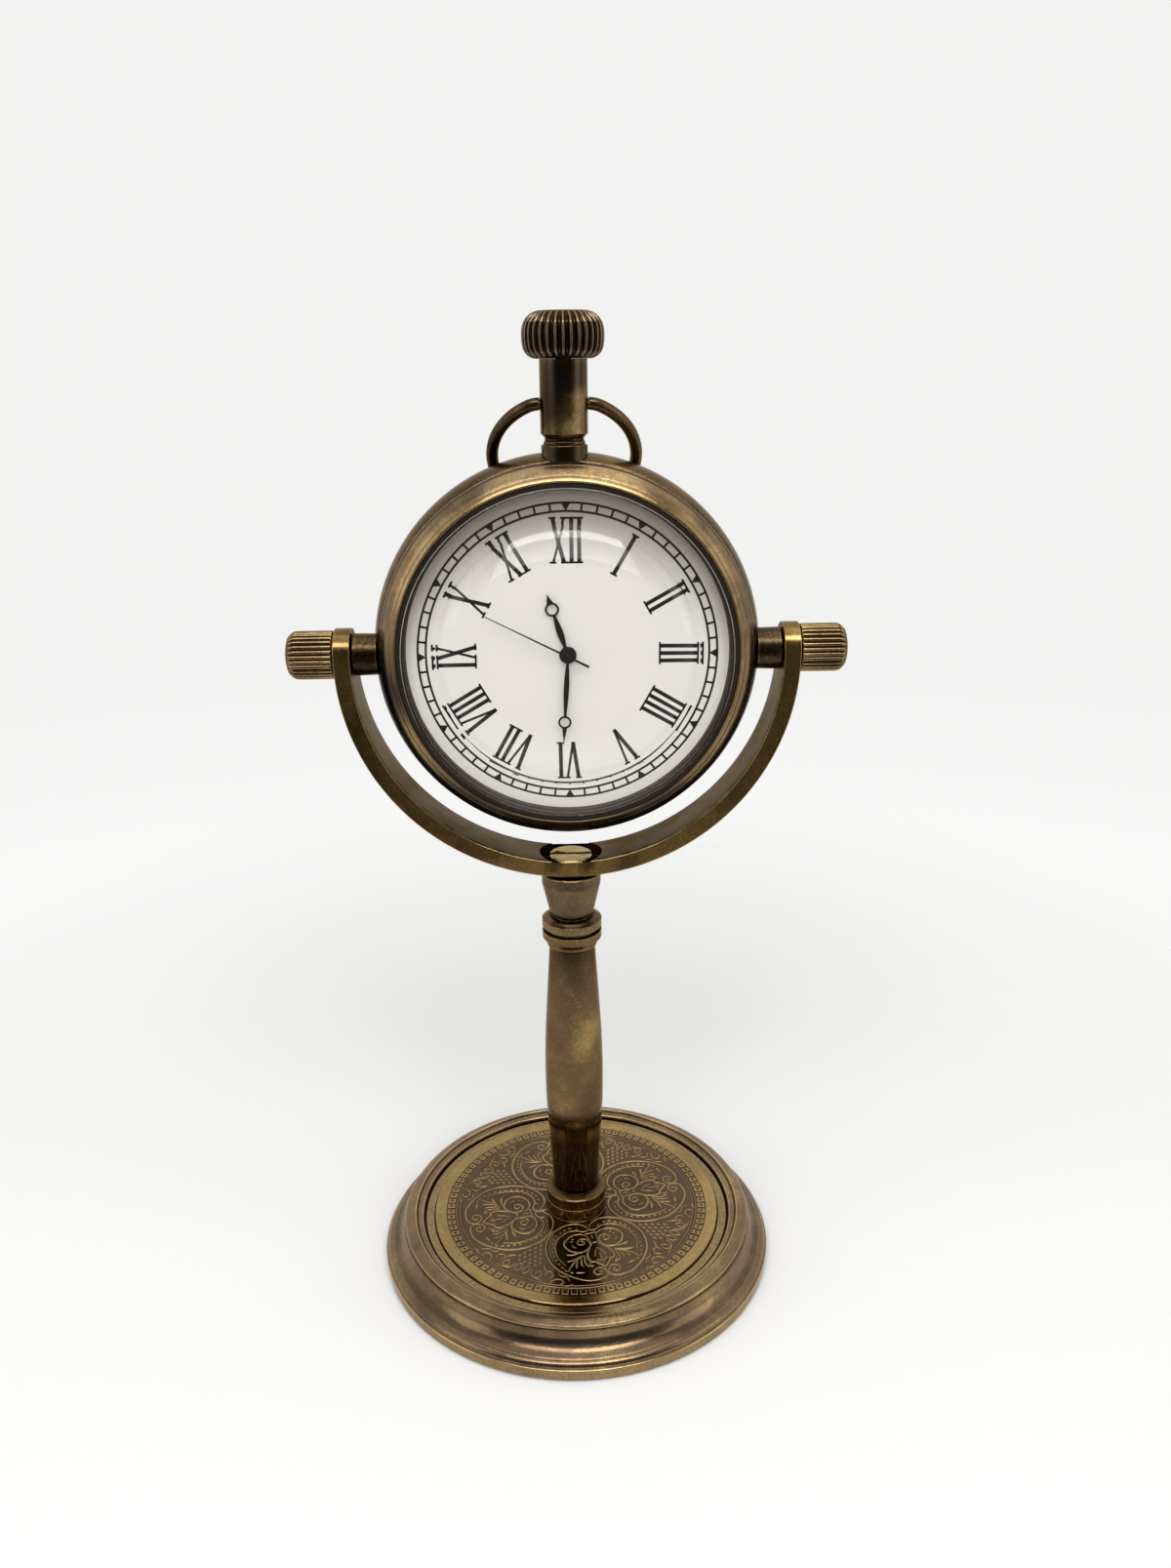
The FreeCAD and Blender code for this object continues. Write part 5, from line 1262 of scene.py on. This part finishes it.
def bow_path(ring_r, drop, inner, bend, steps):
    """The middle line of the bow's wire in its own plane: a circle whose ends ease level into the neck."""
    ease = np.linspace(inner, bend, 12)[:-1]
    height = math.sqrt(ring_r ** 2 - bend ** 2)
    slope = -bend / height
    lift = height - drop + slope * (ease - bend) * (1 - 0.5 * (bend - ease) / (bend - inner))
    start = math.atan2(height, bend)
    angles = np.linspace(start, -math.pi - start, steps)
    ring = np.stack([ring_r * np.cos(angles), ring_r * np.sin(angles) - drop], 1)
    right = np.stack([ease, lift], 1)
    left = right[::-1] * [-1, 1]
    return np.vstack([right, ring, left])


def make_bow():
    path = bow_path(BOW_R, math.sqrt(BOW_R ** 2 - BOW_END ** 2), 3.0, 4.6, 150)
    n, sides = len(path), 20
    centres = np.stack([path[:, 0], np.zeros(n), path[:, 1]], 1)
    tangents = np.gradient(centres, axis=0)
    tangents /= np.linalg.norm(tangents, axis=1)[:, None]
    tangents[0] = tangents[-1] = (1.0, 0.0, 0.0)
    lean = math.radians(BOW_LEAN)
    tilt = np.array([[1, 0, 0], [0, math.cos(lean), -math.sin(lean)], [0, math.sin(lean), math.cos(lean)]])
    side = np.array([0.0, 1.0, 0.0])
    verts, norms, faces = [], [], []
    for centre, tangent in zip(centres, tangents):
        up = np.cross(tangent, side)
        for k in range(sides):
            a = 2 * math.pi * k / sides
            out = side * math.cos(a) + up * math.sin(a)
            verts.append(tilt @ (centre + out * BOW_WIRE) + [0, 0, BOW_Z])
            norms.append(tilt @ out)
    for first in range(0, (n - 1) * sides, sides):
        faces += join(range(first, first + sides), range(first + sides, first + 2 * sides))
    faces.append(list(range(sides)))
    faces.append(list(range((n - 1) * sides, n * sides))[::-1])
    verts, norms = np.array(verts), np.array(norms)
    turn = np.stack([verts[:, 0], verts[:, 2], verts[:, 1]], 1)
    bow = build("bow_wire", verts, oriented(verts, norms, faces), None, turn, np.zeros(len(verts)))
    finish_piece(bow, M_BAND, "bow_ring", "brass_case", "bow")
    for way, name in ((-1, "left"), (1, "right")):
        outline = [(0, way * 1.85), (0.6, way * 1.85), (0.6, way * 3.2), (0, way * 3.2)]
        pin = turned(f"bow_pin_{name}", outline, "X", 32, 0.05, 2)
        pin.location.z = (BOW_Z - PIVOT) * MM
        finish_piece(pin, M_BAND, "bow_ring", "brass_case")


make_base()
make_plate()
make_column()
make_yoke()
make_yoke_screw()
make_thumb_screws()
make_case()
make_crystal()
make_dial()
make_hands()
make_neck()
make_crown()
make_bow()

# The hidden solids are shown as the CAD has them, by material.
HIDDEN = (
    (M_FELT, "felt_pad"),
    (M_STEEL, "base_stud", "base_washer", "base_nut", "stator"),
    (M_STEEL_FINE, "setting_stem", "setting_pinion", "train_bridge", "movement_screws", "rotor"),
    (M_PLASTIC, "movement_ring"),
    (M_CELL, "battery"),
    (M_COIL, "coil"),
    (M_BOARD, "circuit_board"),
    (M_BRIGHT, "main_plate", "third_wheel", "intermediate_wheel", "seconds_wheel", "centre_wheel",
     "minute_wheel", "hour_wheel"),
)
for material, *names in HIDDEN:
    for name in names:
        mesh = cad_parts[name].data
        mesh.materials.clear()
        mesh.materials.append(material)


# ---- floor, light and camera
def make_floor():
    """A pale floor that fades into the backdrop and is dark in reflections from in front of the object."""
    half = 1500.0
    corners = [(-half, -half, 0), (half, -half, 0), (half, half, 0), (-half, half, 0)]
    floor = build("floor", corners, [[0, 1, 2, 3]], smooth=False)
    material, k, shader, place = new_material("floor_pale")
    near = k.ramp(k.split(place)[1], -240.0, -95.0, 0.15, 1.0)
    mirrored_floor = k.mix(near, (0.0, 0.0, 0.0), (0.93, 0.92, 0.91))
    glossy = k.make("ShaderNodeLightPath").outputs["Is Glossy Ray"]
    k.put(shader, {"Base Color": k.mix(glossy, (0.88, 0.877, 0.870), mirrored_floor), "Roughness": 0.9,
                   "Specular IOR Level": 0.1})
    k.clear_where(k.ramp(k.length(place), 60.0, 220.0), shader)
    floor.data.materials.append(material)


def area_light(name, place, aim, size, power):
    """A rectangular light of (width, height) that looks at a height above the middle of the base."""
    data = bpy.data.lights.new(name, "AREA")
    data.shape = "RECTANGLE"
    data.size, data.size_y = size
    data.energy = power
    obj = bpy.data.objects.new(name, data)
    obj.location = place
    obj.rotation_euler = (Vector((0, 0, aim)) - Vector(place)).to_track_quat("-Z", "Y").to_euler()
    bpy.context.scene.collection.objects.link(obj)
    return obj


def make_lights():
    area_light("top_light", (0.0, -0.15, 0.60), 0.05, (0.62, 0.62), 1.05)
    strip = area_light("strip_light", (0.0, -0.30, 0.52), 0.06, (0.55, 0.15), 1.7)
    strip.visible_diffuse = False
    fill_light = area_light("fill_light", (0.0, -0.42, 0.42), 0.06, (0.60, 0.40), 1.95)
    fill_light.visible_glossy = False
    area_light("left_light", (-0.55, -0.25, 0.35), 0.07, (0.35, 0.5), 0.6)
    area_light("right_light", (0.55, -0.20, 0.30), 0.07, (0.30, 0.5), 0.5)


def make_world():
    """Soft studio surroundings: pale behind and beside the object, dim on the camera's side. The camera, and
    rays through the glass to what is behind, see an even backdrop."""
    world = bpy.data.worlds.new("studio")
    bpy.context.scene.world = world
    world.use_nodes = True
    k = Nodes(world.node_tree)
    x, y, z = k.split(k.make("ShaderNodeTexCoord").outputs["Generated"])
    ray = k.make("ShaderNodeLightPath").outputs
    behind = k.ramp(y, -0.45, 0.15)
    beside = k.ramp(k.math("ABSOLUTE", x), 0.55, 0.90, 0.0, 0.75)
    above = k.ramp(z, 0.40, 0.90, 0.0, 0.45)
    glossy = k.ramp(k.most(k.most(behind, beside), above), 0.0, 1.0, 0.13, 0.90, smooth=False)
    diffuse = k.ramp(y, -0.6, 0.5, 0.47, 0.50)
    backdrop = k.ramp(z, -0.37, -0.24, 0.955, 0.885, smooth=False)
    straight = k.most(ray["Is Camera Ray"], k.mul(ray["Is Transmission Ray"], k.ramp(y, 0.0, 0.1)))
    level = k.blend(straight, k.blend(ray["Is Glossy Ray"], diffuse, glossy), backdrop)
    background = k.add_node("ShaderNodeBackground", {0: (1.0, 1.0, 0.992), 1: level})
    k.put(k.make("ShaderNodeOutputWorld"), {0: background})


def make_camera():
    """The camera fitted to the photograph: place in millimetres, turn, and focal length in its pixels."""
    place = Vector((-1.45, -157.83, 128.39))
    focal, long_side, sensor = 1265.0, 1607.0, 36.0
    pitch, roll, yaw = math.radians(19.04), math.radians(0.64), math.radians(1.3)
    data = bpy.data.cameras.new("camera")
    data.sensor_width = sensor
    data.lens = sensor * focal / long_side
    data.clip_start, data.clip_end = 0.005, 20.0
    camera = bpy.data.objects.new("camera", data)
    forward = Vector((math.sin(yaw) * math.cos(pitch), math.cos(yaw) * math.cos(pitch), -math.sin(pitch)))
    right = Vector((math.cos(yaw), -math.sin(yaw), 0))
    up = right.cross(forward)
    c, s = math.cos(roll), math.sin(roll)
    rotation = Matrix((right * c - up * s, right * s + up * c, -forward)).transposed()
    camera.matrix_world = Matrix.Translation(place * MM) @ rotation.to_4x4()
    bpy.context.scene.collection.objects.link(camera)
    bpy.context.scene.camera = camera


make_floor()
make_world()
make_lights()
make_camera()
bpy.context.scene.view_settings.view_transform = "Standard"
